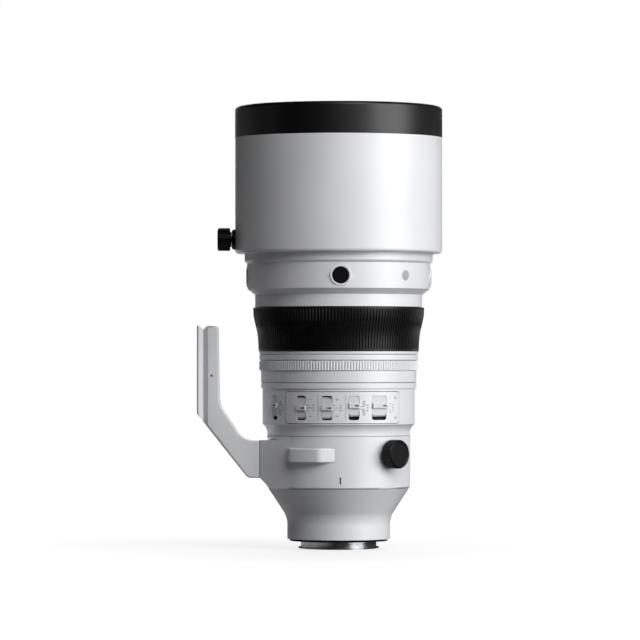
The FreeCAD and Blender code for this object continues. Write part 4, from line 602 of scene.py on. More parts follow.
# %% [markdown]
# ## Barrel castings
# The switch barrel and front barrel are castings with machined faces, painted after assembly.
# Their sharp edges are broken by a tenth of a millimetre or a little more. Glass, cells and the
# rest of the inside are copied without any breaking, only to make their round faces smooth. The
# rear barrel has no pocket or boss, so it is turned, and its waist gets a long round that leads
# the cone into the cylinder.

# %% Barrel castings
EDGE_BREAK = {
    "switch_barrel": 0.12, "front_barrel": 0.15, "blanking_cap": 0.3,
    "contact_block": 0.1, "mount_plate": 0.12, "contact_pins": 0.1,
    "button_front": 0.12, "button_right": 0.12, "button_back": 0.12, "button_left": 0.12,
}
for node, edge in EDGE_BREAK.items():
    make_piece(node + "_finished", merged_copy(node, edge), node)

INSIDE = [
    "inner_tube", "front_tube", "front_cell", "front_lenses", "rear_cell", "rear_lenses",
    "focus_cell", "focus_lens", "iris_base", "iris_ring", "stabiliser_base", "stabiliser_frame",
    "stabiliser_cell", "stabiliser_lens", "guide_rods", "collar_clamp_pad", "hood_clamp_pad",
    "main_board", "foot_screws", *[node for node in nodes if node.startswith("iris_blade")],
]
for node in INSIDE:
    make_piece(node + "_smooth", merged_copy(node), node)

REAR_CYLINDER = 32.45
REAR_BORE = 26.95
REAR_EDGE = 0.15
WAIST_HEIGHT = 14.7
WAIST_REACH = 4.2
CONE_MOUTH_WALL = 3.4
CONE_WALL = 4.5
CONE_MOUTH_DEPTH = 5
cone_radius, barrel_rear, cone_front = extent("rear_barrel")
make_piece("rear_barrel_turned", turned([
    (REAR_BORE, barrel_rear), (REAR_CYLINDER, barrel_rear, REAR_EDGE),
    (REAR_CYLINDER, WAIST_HEIGHT, WAIST_REACH), (cone_radius, cone_front, REAR_EDGE),
    (cone_radius - CONE_MOUTH_WALL, cone_front),
    (cone_radius - CONE_WALL, cone_front - CONE_MOUTH_DEPTH),
    (REAR_BORE, WAIST_HEIGHT)]), "rear_barrel")

# %% [markdown]
# ## Tripod collar and foot
# The collar's ring and the boss for the foot are one casting, and the foot is a separate one that
# is screwed on. Where they meet, both edges are broken deeply, and a thin black strip at the bottom
# of that groove is painted shade that makes the dark joint line. A tiny black cup in the hole in
# the foot's side is painted shade for the dark inside of the hole.

# %% Tripod collar and foot
JOINT_BREAK = 0.5
JOINT_SHADE_INSET = 0.25
JOINT_SHADE_CORNER = 0.5
JOINT_SHADE_THICKNESS = 0.8
JOINT_TOLERANCE = 0.01 * MM
joint_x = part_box("foot")[1][0]


def on_joint(vert):
    return abs(vert.co.x - joint_x) < JOINT_TOLERANCE


def at_joint(line):
    return all(on_joint(vert) for vert in line.verts)


make_piece(
    "tripod_collar_cast", merged_copy("tripod_collar", JOINT_BREAK, at_joint), "tripod_collar")
make_piece("foot_cast", merged_copy("foot", JOINT_BREAK, at_joint), "foot")

joint = [vert.co for vert in nodes["tripod_collar"].data.vertices if on_joint(vert)]
joint_low = min(point.z for point in joint) / MM
joint_high = max(point.z for point in joint) / MM
joint_width = (max(point.y for point in joint) - min(point.y for point in joint)) / MM
print("foot joint is", round(joint_width, 1), "by", round(joint_high - joint_low, 1), "mm")
# Painted shade: a thin black strip at the bottom of the seam stands for the dark of the joint
joint_shade = rounded_plate(
    joint_width - 2 * JOINT_SHADE_INSET, joint_high - joint_low - 2 * JOINT_SHADE_INSET, JOINT_SHADE_CORNER,
    -JOINT_SHADE_THICKNESS / 2, JOINT_SHADE_THICKNESS / 2)
joint_middle = Matrix.Translation((joint_x, 0, (joint_low + joint_high) / 2 * MM))
across = joint_middle @ Matrix.Rotation(math.pi / 2, 4, "Z")
make_piece("foot_joint_shade", joint_shade, "tripod_collar", gasket_rubber, "gasket_rubber", across)

DIMPLE_X, DIMPLE_HEIGHT, DIMPLE_RADIUS = -80.1, 104.2, 0.7
HOLE_SHADE_DEPTH, HOLE_SHADE_PLAY, HOLE_SHADE_SINK, HOLE_SHADE_ROUND = 0.5, 0.02, 0.08, 0.1
HOLE_SHADE_CENTRE_RADIUS, HOLE_SHADE_CENTRE_SINK = 0.25, 0.25
foot_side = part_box("foot")[0][1] / MM
hole_shade_radius = DIMPLE_RADIUS - HOLE_SHADE_PLAY
# Painted shade: a small black cup stands for the dark inside of the hole in the foot
hole_shade = turned([
    (0, -HOLE_SHADE_DEPTH), (hole_shade_radius, -HOLE_SHADE_DEPTH), (hole_shade_radius, -HOLE_SHADE_SINK, HOLE_SHADE_ROUND),
    (HOLE_SHADE_CENTRE_RADIUS, -HOLE_SHADE_SINK), (0, -HOLE_SHADE_CENTRE_SINK)], SMALL_TURN_STEPS)
dimple = Matrix.Translation((DIMPLE_X * MM, foot_side * MM, DIMPLE_HEIGHT * MM))
seat = dimple @ Matrix.Rotation(math.pi / 2, 4, "X")
make_piece("foot_side_hole_shade", hole_shade, "foot", black_plastic, "black_plastic", seat)

# %% [markdown]
# ## Strap bars
# Two bridges stand on the collar for the neck strap. From above, each rises from the ring at one
# end, runs along it and falls back at the other, with a slit under it for the strap. So it is drawn
# as that plan, extruded along the barrel, and its edges are rounded well, since hands and straps
# touch them. The second is the mirror image of the first.

# %% Strap bars
bar_low, bar_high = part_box("strap_bars")
bar_radius = bar_high[1] / MM
collar_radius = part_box("tripod_collar")[1][0] / MM
BAR_SLIT = 2.6
BAR_ENDS = (-47.0, -4.2)
BAR_FLAT = (-40.0, -15.5)
SLIT_ENDS = (-39.0, -12.5)
BAR_STEPS = 8
BAR_BEND = 1.6
BAR_ROUND = 0.9
BAR_ROOT = 0.1


def on_circle(radius, azimuth):
    angle = math.radians(azimuth)
    return radius * math.sin(angle), -radius * math.cos(angle)


root_radius = collar_radius - BAR_ROOT
slit_radius = collar_radius + BAR_SLIT
bar_step = (BAR_FLAT[1] - BAR_FLAT[0]) / BAR_STEPS
between = [BAR_FLAT[0] + i * bar_step for i in range(1, BAR_STEPS)]
plan = [on_circle(root_radius, BAR_ENDS[0]), (*on_circle(bar_radius, BAR_FLAT[0]), BAR_BEND)]
plan += [on_circle(bar_radius, azimuth) for azimuth in between]
plan += [(*on_circle(bar_radius, BAR_FLAT[1]), BAR_BEND), on_circle(root_radius, BAR_ENDS[1])]
plan += [on_circle(root_radius, SLIT_ENDS[1])]
plan += [on_circle(slit_radius, azimuth) for azimuth in reversed(between)]
plan += [on_circle(root_radius, SLIT_ENDS[0])]
bm = bmesh.new()
add_outline(bm, plan)
bmesh.ops.contextual_create(bm, geom=bm.edges[:])
bmesh.ops.rotate(bm, verts=bm.verts, matrix=Matrix.Rotation(-math.pi / 2, 3, "X"))
bmesh.ops.translate(bm, verts=bm.verts, vec=(0, 0, bar_low[2]))
push_out(bm, bm.faces[:], (0, 0, bar_high[2] - bar_low[2]))
rims = [
    line for line in bm.edges
    if abs(line.verts[0].co.z - line.verts[1].co.z) < MERGE_DISTANCE]
bmesh.ops.bevel(
    bm, geom=rims, offset=BAR_ROUND * MM, segments=4, profile=0.5, affect="EDGES",
    clamp_overlap=True, material=-1)
bmesh.ops.mirror(bm, geom=whole(bm), axis="Y", merge_dist=0)
make_piece("strap_bar_pair", bm, "strap_bars")

# %% [markdown]
# ## Index mark
# A short groove on the collar, filled with black paint, is the mark that the lens turns past. The
# paint is a thin bar that lies in the groove just below the surface.

# %% Index mark
INDEX_WIDTH = 0.86
INDEX_LENGTH = 4.3
INDEX_CORNER = 0.2
INDEX_START = 3.2
INDEX_DEPTH, INDEX_SINK = 0.35, 0.04
collar_low, collar_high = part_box("tripod_collar")
index_height = collar_low[2] / MM + INDEX_START + INDEX_LENGTH / 2
index = rounded_plate(INDEX_WIDTH, INDEX_LENGTH, INDEX_CORNER, -INDEX_DEPTH, -INDEX_SINK)
make_piece(
    "index_paint", wrap(index, collar_radius, 0, index_height), "tripod_collar", print_ink,
    "black_plastic")

# %% [markdown]
# ## Switch panel
# A thin painted plate is let into the barrel with a fine joint round it. The plate's rim is broken
# by about a quarter of a millimetre, and a thin black frame under the rim is painted shade that
# darkens the joint.

# %% Switch panel
PANEL_LIFT = 0.35
PANEL_EDGE = 0.28
PANEL_AZIMUTH = 2.75
PANEL_ANGLE = 93.9
PANEL_BENDS = 40
SHADE_RIM_WIDER, SHADE_RIM_LONGER = 0.5, 0.7
SHADE_RIM_CORNER, SHADE_RIM_WIDTH = 2.3, 0.9
SHADE_RIM_DEPTH, SHADE_RIM_RISE = 0.2, 0.03
panel_radius = -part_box("switch_panel")[0][1] / MM
barrel_radius = panel_radius - PANEL_LIFT
panel_rear, panel_front = (corner[2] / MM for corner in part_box("switch_panel"))
panel_middle = (panel_rear + panel_front) / 2
panel_width = math.radians(PANEL_ANGLE) * panel_radius
make_piece("switch_panel_plate", merged_copy("switch_panel", PANEL_EDGE), "switch_panel")
# Painted shade: a thin black frame under the plate's rim stands for the shade in the joint
shade_rim = rounded_plate(
    panel_width + SHADE_RIM_WIDER, panel_front - panel_rear + SHADE_RIM_LONGER, SHADE_RIM_CORNER,
    -SHADE_RIM_DEPTH, SHADE_RIM_RISE, PANEL_BENDS, SHADE_RIM_WIDTH)
make_piece(
    "panel_shade_rim", wrap(shade_rim, barrel_radius, PANEL_AZIMUTH, panel_middle), "switch_panel",
    gasket_rubber, "gasket_rubber")

# %% [markdown]
# ## Slide switches
# Each slider is a moulded plate with a ridge for the thumb and a black line on the ridge. Behind
# its slot lies a black sheet, painted shade that shows where the slider
# has moved away. The places come from the sliders' own boxes.

# %% Slide switches
SLIDERS = {
    "slider_lone": -57.8, "slider_first": -30.3, "slider_second": -10.1, "slider_third": 10.1,
    "slider_wide": 30.3}
SLOT_WIDTH = {"slider_lone": 6.0, "slider_wide": 10.6}
STANDARD_SLOT = 6.9
SLOT_LENGTH = 15.1
SLOT_OFFSET = 0.25
SLIDER_EDGE = 0.15
RIDGE_HEIGHT = 0.95
LINE_LENGTH, LINE_WIDTH, LINE_CORNER = 2.7, 0.85, 0.1
LINE_INSET = 0.45
LINE_SINK, LINE_RISE = 0.05, 0.03
SHEET_RADIUS, SHEET_THICKNESS = 46.08, 0.12
SHEET_MARGIN, SHEET_CORNER, SHEET_BENDS = 1.0, 0.5, 6
slot_height = panel_middle - SLOT_OFFSET


def middle_height(node):
    return sum(corner[2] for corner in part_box(node)) / 2 / MM


def surface_radius(slider):
    """The lone switch sits on the barrel itself, the others on the panel."""
    return barrel_radius if slider == "slider_lone" else panel_radius


for node, azimuth in SLIDERS.items():
    width = SLOT_WIDTH.get(node, STANDARD_SLOT)
    top = surface_radius(node) + RIDGE_HEIGHT
    make_piece(node + "_moulded", merged_copy(node, SLIDER_EDGE), node)
    line_middle = width / 2 - LINE_INSET - LINE_LENGTH / 2
    line = shifted(rounded_plate(
        LINE_LENGTH, LINE_WIDTH, LINE_CORNER, top - LINE_SINK, top + LINE_RISE), line_middle, 0)
    facing = radial_place(azimuth, middle_height(node)) @ Matrix.Rotation(-math.pi / 2, 4, "X")
    make_piece(node + "_line", line, node, print_ink, "black_plastic", facing)
    # Painted shade: a black sheet behind the slot stands for the shade in its open part
    sheet = rounded_plate(
        width + SHEET_MARGIN, SLOT_LENGTH + SHEET_MARGIN, SHEET_CORNER, 0, SHEET_THICKNESS,
        SHEET_BENDS)
    make_piece(
        node + "_slot_shade_sheet", wrap(sheet, SHEET_RADIUS, azimuth, slot_height), "front_tube",
        gasket_rubber, "gasket_rubber")

# %% [markdown]
# ## Printed marks
# Beside each switch are a tick for each stop and a few plain numbers or words, printed so that
# they read upwards. Two fine lines divide the panel. Ink is a few hundredths of a millimetre thick,
# so each mark is a very thin plate or letter, bent onto the surface.

# %% Printed marks
THROW = 1.4
TICK_SPREAD = 1.2
INK_NEAR = -0.02
INK_FAR = 0.03
INK_CORNER = 0.05
TICK_LENGTH, TICK_WIDTH = 0.9, 0.4
TICK_OFFSET, WORD_OFFSET, NUMBERS_OFFSET = 1.2, 3.0, 5.3
WORD_TALL, WORD_STEP = 1.7, 5.2
NUMBERS_TALL = 1.5
DIVIDER_AZIMUTHS = (-16.6, 3.9)
DIVIDER_WIDTH, DIVIDER_SHORTER = 0.22, 3.7
LABELS = {
    "slider_lone": ("OFF", "ON"), "slider_first": ("3", "2", "1"), "slider_second": ("2", "1", "0"),
    "slider_third": ("OFF", "ON"), "slider_wide": ("2", "1"),
}
black_marks = bmesh.new()
grey_marks = bmesh.new()
for number, (node, azimuth) in enumerate(SLIDERS.items()):
    radius = surface_radius(node)
    side = SLOT_WIDTH.get(node, STANDARD_SLOT) / 2
    texts = LABELS[node]
    for i, text in enumerate(texts):
        step = i - (len(texts) - 1) / 2
        tick = rounded_plate(TICK_LENGTH, TICK_WIDTH, INK_CORNER, INK_NEAR, INK_FAR)
        tick = shifted(tick, side + TICK_OFFSET, step * THROW * TICK_SPREAD)
        joined(black_marks, wrap(tick, radius, azimuth, slot_height))
        word = lettering(text, WORD_TALL, INK_NEAR, INK_FAR)
        word = shifted(word, side + WORD_OFFSET, step * WORD_STEP)
        joined(black_marks, wrap(word, radius, azimuth, slot_height))
    numbers = " ".join(str(number + i) for i in range(1, 4))
    numbers = lettering(numbers, NUMBERS_TALL, INK_NEAR, INK_FAR)
    numbers = shifted(numbers, side + NUMBERS_OFFSET, 0)
    joined(grey_marks, wrap(numbers, radius, azimuth, slot_height))
divider_length = panel_front - panel_rear - DIVIDER_SHORTER
for azimuth in DIVIDER_AZIMUTHS:
    divider = rounded_plate(DIVIDER_WIDTH, divider_length, INK_CORNER, INK_NEAR, INK_FAR)
    joined(grey_marks, wrap(divider, panel_radius, azimuth, panel_middle))
make_piece("black_print", black_marks, "switch_panel", print_ink, "black_plastic")
make_piece("grey_print", grey_marks, "switch_panel", grey_ink, "black_plastic")

# %% [markdown]
# ## Cross-recessed screws
# Four small screws hold the panel and four hold the mount. The head is turned, then its flat face
# is cut by eight planes, and the faces that form a cross are pushed in as the driver's recess. The
# panel's screws were painted, so they take a white satin paint and not bare steel.

# %% Cross-recessed screws
SCREW_STEPS = 32
SHANK_SHARE, RECESS_SHARE = 0.6, 0.6
ARM_SHARE, SLIT_SHARE = 0.62, 0.17
HEAD_EDGE_WIDTH, HEAD_EDGE_DEPTH = 0.08, 0.15
FACE_TOLERANCE = 0.01 * MM
PANEL_SCREW_ANGLE, PANEL_SCREW_INSET = 42.75, 3.5
PANEL_SCREW_RADIUS, PANEL_SCREW_DEPTH, PANEL_SCREW_SINK = 1.1, 0.5, 0.05
MOUNT_SCREW_CIRCLE = 27.9
MOUNT_SCREW_RADIUS, MOUNT_SCREW_DEPTH, MOUNT_SCREW_SINK = 1.15, 0.7, 0.1


def cross_screw(radius, depth):
    """Drawn about Z with its face at height 0."""
    bm = turned([
        (0, -depth), (radius * SHANK_SHARE, -depth), (radius, -HEAD_EDGE_DEPTH),
        (radius - HEAD_EDGE_WIDTH, 0), (0, 0)], SCREW_STEPS)
    arm, slit = radius * ARM_SHARE * MM, radius * SLIT_SHARE * MM
    for normal in ((1, 0, 0), (0, 1, 0)):
        for offset in (-arm, -slit, slit, arm):
            bmesh.ops.bisect_plane(
                bm, geom=whole(bm), plane_co=Vector(normal) * offset, plane_no=normal)
    cross = []
    for face in bm.faces:
        x, y, z = face.calc_center_median()
        on_face = z > -FACE_TOLERANCE
        if on_face and max(abs(x), abs(y)) < arm and min(abs(x), abs(y)) < slit:
            cross.append(face)
    push_out(bm, cross, (0, 0, -depth * RECESS_SHARE * MM))
    return bm


def set_screw(heads, radius, depth, seat):
    head = cross_screw(radius, depth)
    bmesh.ops.transform(head, matrix=seat, verts=head.verts)
    joined(heads, head)


heads = bmesh.new()
outward = Matrix.Translation((0, 0, (panel_radius - PANEL_SCREW_SINK) * MM))
for azimuth in (PANEL_AZIMUTH - PANEL_SCREW_ANGLE, PANEL_AZIMUTH + PANEL_SCREW_ANGLE):
    for height in (panel_rear + PANEL_SCREW_INSET, panel_front - PANEL_SCREW_INSET):
        seat = radial_place(azimuth, height) @ outward
        set_screw(heads, PANEL_SCREW_RADIUS, PANEL_SCREW_DEPTH, seat)
make_piece("panel_screw_heads", heads, "panel_screws", seat_paint, "panel_paint")

heads = bmesh.new()
for azimuth in (45, 135, 225, 315):
    x, y = on_circle(MOUNT_SCREW_CIRCLE * MM, azimuth)
    sunk = Matrix.Translation((x, y, MOUNT_SCREW_SINK * MM))
    seat = sunk @ Matrix.Rotation(math.pi, 4, "X")
    set_screw(heads, MOUNT_SCREW_RADIUS, MOUNT_SCREW_DEPTH, seat)
make_piece("mount_screw_heads", heads, "mount_screws")

# %% [markdown]
# ## Control ring and spacer
# The control ring is one turned piece with a plain band and a ribbed band. Its ribs are low, close
# and rounded, as the fingers need them. A narrow plain spacer follows it.

# %% Control ring and spacer
CONTROL_RIBS = 171
RING_WALL = 4.1
RING_EDGE = 0.3
PLAIN_BAND, PLAIN_STEP, STEP_EDGE = 7.4, 1.1, 0.2
KNURL_HEIGHT, KNURL_WIDTH, KNURL_EDGE = 0.55, 1.0, 0.22
KNURL_MARGIN, KNURL_ROUND = 0.25, 0.25
knurl_radius, control_rear, control_front = extent("control_ring")
ring_bore = knurl_radius - RING_WALL
plain_front = control_rear + PLAIN_BAND
plain_radius = knurl_radius - PLAIN_STEP
knurl_root = knurl_radius - KNURL_HEIGHT
knurl_rear, knurl_front = plain_front + KNURL_MARGIN, control_front - KNURL_MARGIN
control_band = turned([
    (ring_bore, control_rear), (plain_radius, control_rear, RING_EDGE),
    (plain_radius, plain_front), (knurl_root, plain_front, STEP_EDGE),
    (knurl_root, control_front, RING_EDGE), (ring_bore, control_front)])
control_ribs = bars([
    (knurl_root - RIB_ROOT, knurl_rear), (knurl_radius, knurl_rear, KNURL_ROUND),
    (knurl_radius, knurl_front, KNURL_ROUND), (knurl_root - RIB_ROOT, knurl_front)],
    CONTROL_RIBS, KNURL_WIDTH, KNURL_EDGE)
make_piece("control_ring_ribbed", joined(control_band, control_ribs), "control_ring")

spacer_radius, spacer_rear, spacer_front = extent("spacer_ring")
make_piece("spacer_turned", turned([
    (ring_bore, spacer_rear), (spacer_radius, spacer_rear, RING_EDGE),
    (spacer_radius, spacer_front, RING_EDGE), (ring_bore, spacer_front)]), "spacer_ring")

# %% [markdown]
# ## Focus ring
# A white sleeve with a short lip carries the rubber grip, which flares towards the front. The
# rubber is moulded in one piece: a core with a plain hem at each end, and ribs between the hems
# that follow the flare. So the core and the ribs are drawn from the same line, some way apart.

# %% Focus ring
GRIP_RIBS = 162
RIB_HEIGHT, RIB_WIDTH, RIB_EDGE = 0.75, 1.25, 0.3
WAIST_RISE, WAIST_AT, FLARE_AT = 1.0, 10.5, 22.3
GRIP_FALL, GRIP_BEND = 0.43, 3.5
HEM_REAR, HEM_FRONT, HEM_EDGE = 1.5, 1.2, 0.3
HEM_START_RISE, HEM_END_RISE = 0.5, 0.56
RUBBER_SINK, RUBBER_THICKNESS = 1.3, 1.8
LIP_EDGE = 0.25
SLEEVE_SINK, SLEEVE_UNDER_WAIST, SLEEVE_UNDER_FLARE = 1.4, 2, 1.95
_, sleeve_rear, sleeve_front = extent("focus_sleeve")
grip_radius, grip_rear, _ = extent("focus_rubber")
waist_radius, waist_height = spacer_radius + WAIST_RISE, grip_rear + WAIST_AT
flare_height = grip_rear + FLARE_AT
hem_rear, hem_front = grip_rear + HEM_REAR, sleeve_front - HEM_FRONT
make_piece("focus_sleeve_turned", turned([
    (ring_bore, sleeve_rear), (spacer_radius, sleeve_rear, LIP_EDGE), (spacer_radius, grip_rear),
    (spacer_radius - SLEEVE_SINK, grip_rear), (waist_radius - SLEEVE_UNDER_WAIST, waist_height),
    (grip_radius - SLEEVE_UNDER_FLARE, flare_height),
    (grip_radius - SLEEVE_UNDER_FLARE, sleeve_front), (ring_bore, sleeve_front)]), "focus_sleeve")


def grip_line(inset):
    return [
        (waist_radius - GRIP_FALL - inset, hem_rear),
        (waist_radius - inset, waist_height, GRIP_BEND),
        (grip_radius - inset, flare_height, GRIP_BEND), (grip_radius - inset, hem_front)]


grip_core = turned([
    (spacer_radius - RUBBER_SINK, grip_rear),
    (spacer_radius + HEM_START_RISE, grip_rear, HEM_EDGE),
    (spacer_radius + HEM_END_RISE, hem_rear), *grip_line(RIB_HEIGHT), (grip_radius, hem_front),
    (grip_radius, sleeve_front, HEM_EDGE), (grip_radius - RUBBER_THICKNESS, sleeve_front),
    (grip_radius - RUBBER_THICKNESS, flare_height),
    (waist_radius - RUBBER_THICKNESS, waist_height)])
rib_top, rib_foot = grip_line(0), grip_line(RIB_HEIGHT + RIB_ROOT)
grip_ribs = bars(rib_top + rib_foot[::-1], GRIP_RIBS, RIB_WIDTH, RIB_EDGE)
make_piece("focus_grip_moulded", joined(grip_core, grip_ribs), "focus_rubber")

# %% [markdown]
# ## Seals between the rings
# A turning ring needs a running gap, and dust must not get in, so a felt ring sits a little way
# down in each gap. It is what makes the fine black line between two rings.

# %% Seals between the rings
GAP = 0.3
SEAL_PLAY = 0.03
SEAL_SINK = 0.7
FRONT_BARREL_EDGE = 52.4
COLLAR_SEAT, COLLAR_REAR_EDGE, COLLAR_FRONT_EDGE = 41.2, 44.4, 45.0
seal_edges = [
    (control_rear, ring_bore, plain_radius), (spacer_rear, ring_bore, spacer_radius),
    (sleeve_rear, ring_bore, spacer_radius), (sleeve_front + GAP, ring_bore, FRONT_BARREL_EDGE),
    (collar_low[2] / MM, COLLAR_SEAT, COLLAR_REAR_EDGE),
    (collar_high[2] / MM + GAP, COLLAR_SEAT, COLLAR_FRONT_EDGE)]
seals = bmesh.new()
for front, inner, outer in seal_edges:
    near, far = front - GAP + SEAL_PLAY, front - SEAL_PLAY
    joined(seals, turned([
        (inner, near), (outer - SEAL_SINK, near), (outer - SEAL_SINK, far), (inner, far)]))
make_piece("felt_seals", seals, "front_barrel", gasket_rubber, "gasket_rubber")

# %% [markdown]
# ## Hood
# The hood is a thin white tube with a rubber end that guards the front, and it slides forward on
# the painted seat ring. All are turned. The lining is flocked against stray light.

# %% Hood
BAND_RISE, BAND_SEAT_SINK, BAND_SINK = 0.1, 1.4, 1.3
BAND_EDGE, END_ROUND, MOUTH_ROUND = 0.15, 2.2, 0.4
MOUTH_OVERHANG = 0.3
RIM_THICKNESS = 1.6
HOOD_PLAY, HOOD_WALL, HOOD_SLEEVE = 0.15, 3, 16.3
HOOD_INNER_EDGE, HOOD_SHOULDER = 0.3, 2.0
LINING_THICKNESS = 0.9
SEAT_WALL, SEAT_CHAMFER = 3.3, 1.4
SEAT_REAR_EDGE, SEAT_CREST_ROUND, SEAT_FRONT_EDGE = 0.2, 0.4, 0.3
band_radius, band_rear, hood_front = extent("hood_rubber")
_, hood_rear, _ = extent("hood_shell")
seat_radius, seat_rear, seat_front = extent("hood_seat_ring")
hood_radius = band_radius - BAND_RISE
hood_bore = seat_radius + HOOD_PLAY
hood_inner = hood_radius - HOOD_WALL
rim_rear = hood_front - RIM_THICKNESS
sleeve_end = hood_rear + HOOD_SLEEVE
band_seat, band_inner = hood_radius - BAND_SEAT_SINK, hood_radius - BAND_SINK
make_piece("hood_tube", turned([
    (hood_bore, hood_rear, HOOD_INNER_EDGE), (hood_radius, hood_rear, HOOD_SHOULDER),
    (hood_radius, band_rear), (band_seat, band_rear), (band_seat, rim_rear),
    (hood_inner, rim_rear), (hood_inner, sleeve_end), (hood_bore, sleeve_end)]), "hood_shell")
mouth_radius = hood_inner - MOUTH_OVERHANG
make_piece("hood_end_moulded", turned([
    (band_inner, band_rear), (band_radius, band_rear, BAND_EDGE),
    (band_radius, hood_front, END_ROUND), (mouth_radius, hood_front, MOUTH_ROUND),
    (mouth_radius, rim_rear), (band_inner, rim_rear)]), "hood_rubber", end_rubber)
liner_radius, liner_rear, liner_front = extent("hood_liner")
make_piece("hood_lining", turned([
    (liner_radius - LINING_THICKNESS, liner_rear), (liner_radius, liner_rear),
    (liner_radius, liner_front), (liner_radius - LINING_THICKNESS, liner_front)]), "hood_liner")
make_piece("hood_seat_turned", turned([
    (seat_radius - SEAT_WALL, seat_rear), (seat_radius - SEAT_CHAMFER, seat_rear, SEAT_REAR_EDGE),
    (seat_radius, seat_rear + SEAT_CHAMFER, SEAT_CREST_ROUND),
    (seat_radius, seat_front, SEAT_FRONT_EDGE), (seat_radius - SEAT_WALL, seat_front)]),
    "hood_seat_ring")

# %% [markdown]
# ## Filter ring
# Black anodised, with the filter thread inside. A thread this fine reads as even rings, so its
# section is drawn as a row of V grooves at the real pitch of 1 mm, in a loop.

# %% Filter ring
THREAD_PITCH = 1.0
THREAD_DEPTH = 0.5
THREAD_TURNS = 4
THREAD_START = 0.6
RING_FACE, RING_FACE_ROUND = 7.3, 0.6
THREAD_CHAMFER = 0.4
CLEAR_STEP, RING_FOOT = 2, 4
filter_radius, filter_rear, lens_front = extent("filter_ring")
crest_radius = filter_radius - RING_FACE
clear_radius = crest_radius - CLEAR_STEP
foot_radius = clear_radius + RING_FOOT
first_crest = lens_front - THREAD_START
thread = []
for turn in range(THREAD_TURNS):
    height = first_crest - turn * THREAD_PITCH
    thread += [(crest_radius, height), (crest_radius + THREAD_DEPTH, height - THREAD_PITCH / 2)]
thread_rear = first_crest - THREAD_TURNS * THREAD_PITCH
make_piece("filter_ring_threaded", turned([
    (clear_radius, filter_rear), (foot_radius, filter_rear), (foot_radius, seat_front),
    (filter_radius, seat_front), (filter_radius, lens_front, RING_FACE_ROUND),
    (crest_radius + THREAD_CHAMFER, lens_front), *thread, (crest_radius, thread_rear),
    (clear_radius, thread_rear)]), "filter_ring")

# %% [markdown]
# ## Knobs
# Two knobs clamp the collar and the hood. Each is drawn upright about Z: a stem, a neck, and a head
# with fine ribs on its side, a chamfer and a slightly sunk face. `radial_place` then points it out
# of its boss. The hood's boss is black plastic too, as in the photograph.

# %% Knobs
KNOB_RIBS = 32
KNOB_RIB_HEIGHT, KNOB_RIB_WIDTH = 0.45, 0.9
KNOB_RIB_EDGE, KNOB_RIB_ROUND = 0.2, 0.25
KNOB_RIB_START, KNOB_RIB_END = 0.3, 0.45
NECK_ROUND, HEAD_ROUND, RIM_ROUND, FACE_ROUND = 0.2, 0.3, 0.2, 0.15
CHAMFER_WIDTH, CHAMFER_DEPTH = 1.0, 0.6
RIM_INNER, FACE_OUTER, FACE_SINK = 1.5, 1.8, 0.35


def ribbed_knob(radius, neck_radius, stem_radius, stem_near, neck_near, head_near, far):
    """The last four are distances from the optical axis."""
    root = radius - KNOB_RIB_HEIGHT
    core = turned([
        (0, stem_near), (stem_radius, stem_near), (stem_radius, neck_near),
        (neck_radius, neck_near, NECK_ROUND), (neck_radius, head_near),
        (root, head_near, HEAD_ROUND), (root, far - CHAMFER_DEPTH),
        (radius - CHAMFER_WIDTH, far, RIM_ROUND), (radius - RIM_INNER, far, RIM_ROUND),
        (radius - FACE_OUTER, far - FACE_SINK, FACE_ROUND), (0, far - FACE_SINK)],
        SMALL_TURN_STEPS)
    ribs = bars([
        (root - RIB_ROOT, head_near + KNOB_RIB_START),
        (radius, head_near + KNOB_RIB_START, KNOB_RIB_ROUND),
        (radius, far - CHAMFER_DEPTH, KNOB_RIB_ROUND), (root - RIB_ROOT, far - KNOB_RIB_END)],
        KNOB_RIBS, KNOB_RIB_WIDTH, KNOB_RIB_EDGE)
    return joined(core, ribs)


COLLAR_KNOB_AZIMUTH = 43.2
collar_knob = ribbed_knob(
    radius=9.0, neck_radius=7.5, stem_radius=2.5,
    stem_near=41.45, neck_near=46.0, head_near=46.6, far=54.6)
make_piece(
    "collar_knob_moulded", collar_knob, "collar_knob",
    place=radial_place(COLLAR_KNOB_AZIMUTH, middle_height("collar_knob")))

HOOD_KNOB_AZIMUTH = -90
BOSS_REACH = 2.2
BOSS_BORE, BOSS_RADIUS, BOSS_ROUND = 2.3, 6.55, 1.6
hood_knob = ribbed_knob(
    radius=7.25, neck_radius=4.75, stem_radius=2.2,
    stem_near=59.95, neck_near=67.7, head_near=68.5, far=76.6)
hood_knob_place = radial_place(HOOD_KNOB_AZIMUTH, middle_height("hood_knob"))
make_piece("hood_knob_moulded", hood_knob, "hood_knob", place=hood_knob_place)
boss_near, boss_far = hood_radius - BOSS_REACH, hood_radius + BOSS_REACH
make_piece("hood_knob_boss", turned([
    (BOSS_BORE, boss_near), (BOSS_RADIUS, boss_near), (BOSS_RADIUS, boss_far, BOSS_ROUND),
    (BOSS_BORE, boss_far)], SMALL_TURN_STEPS),
    "hood_shell", black_plastic, "black_plastic", hood_knob_place)

# %% [markdown]
# ## Mount gasket
# A lip of silicone closes the joint to the camera. It is turned, with its outer edge rounded off.

# %% Mount gasket
GASKET_WIDTH, GASKET_INNER_EDGE, GASKET_ROUND = 1.4, 0.1, 0.5
gasket_radius, gasket_rear, gasket_front = extent("mount_gasket")
gasket_inner = gasket_radius - GASKET_WIDTH
make_piece("mount_gasket_moulded", turned([
    (gasket_inner, gasket_rear, GASKET_INNER_EDGE), (gasket_radius, gasket_rear, GASKET_ROUND),
    (gasket_radius, gasket_front), (gasket_inner, gasket_front)]), "mount_gasket")

# %% [markdown]
# ## Light that doesn't light the lens
# Paper and background are brought up to white by a light of their own. It could be a lamp, but a
# lamp would brighten the lens too. Light Path tells the rays apart: the camera sees this light
# everywhere, polished metal and glass only where `field` lets them, and no other ray meets it.

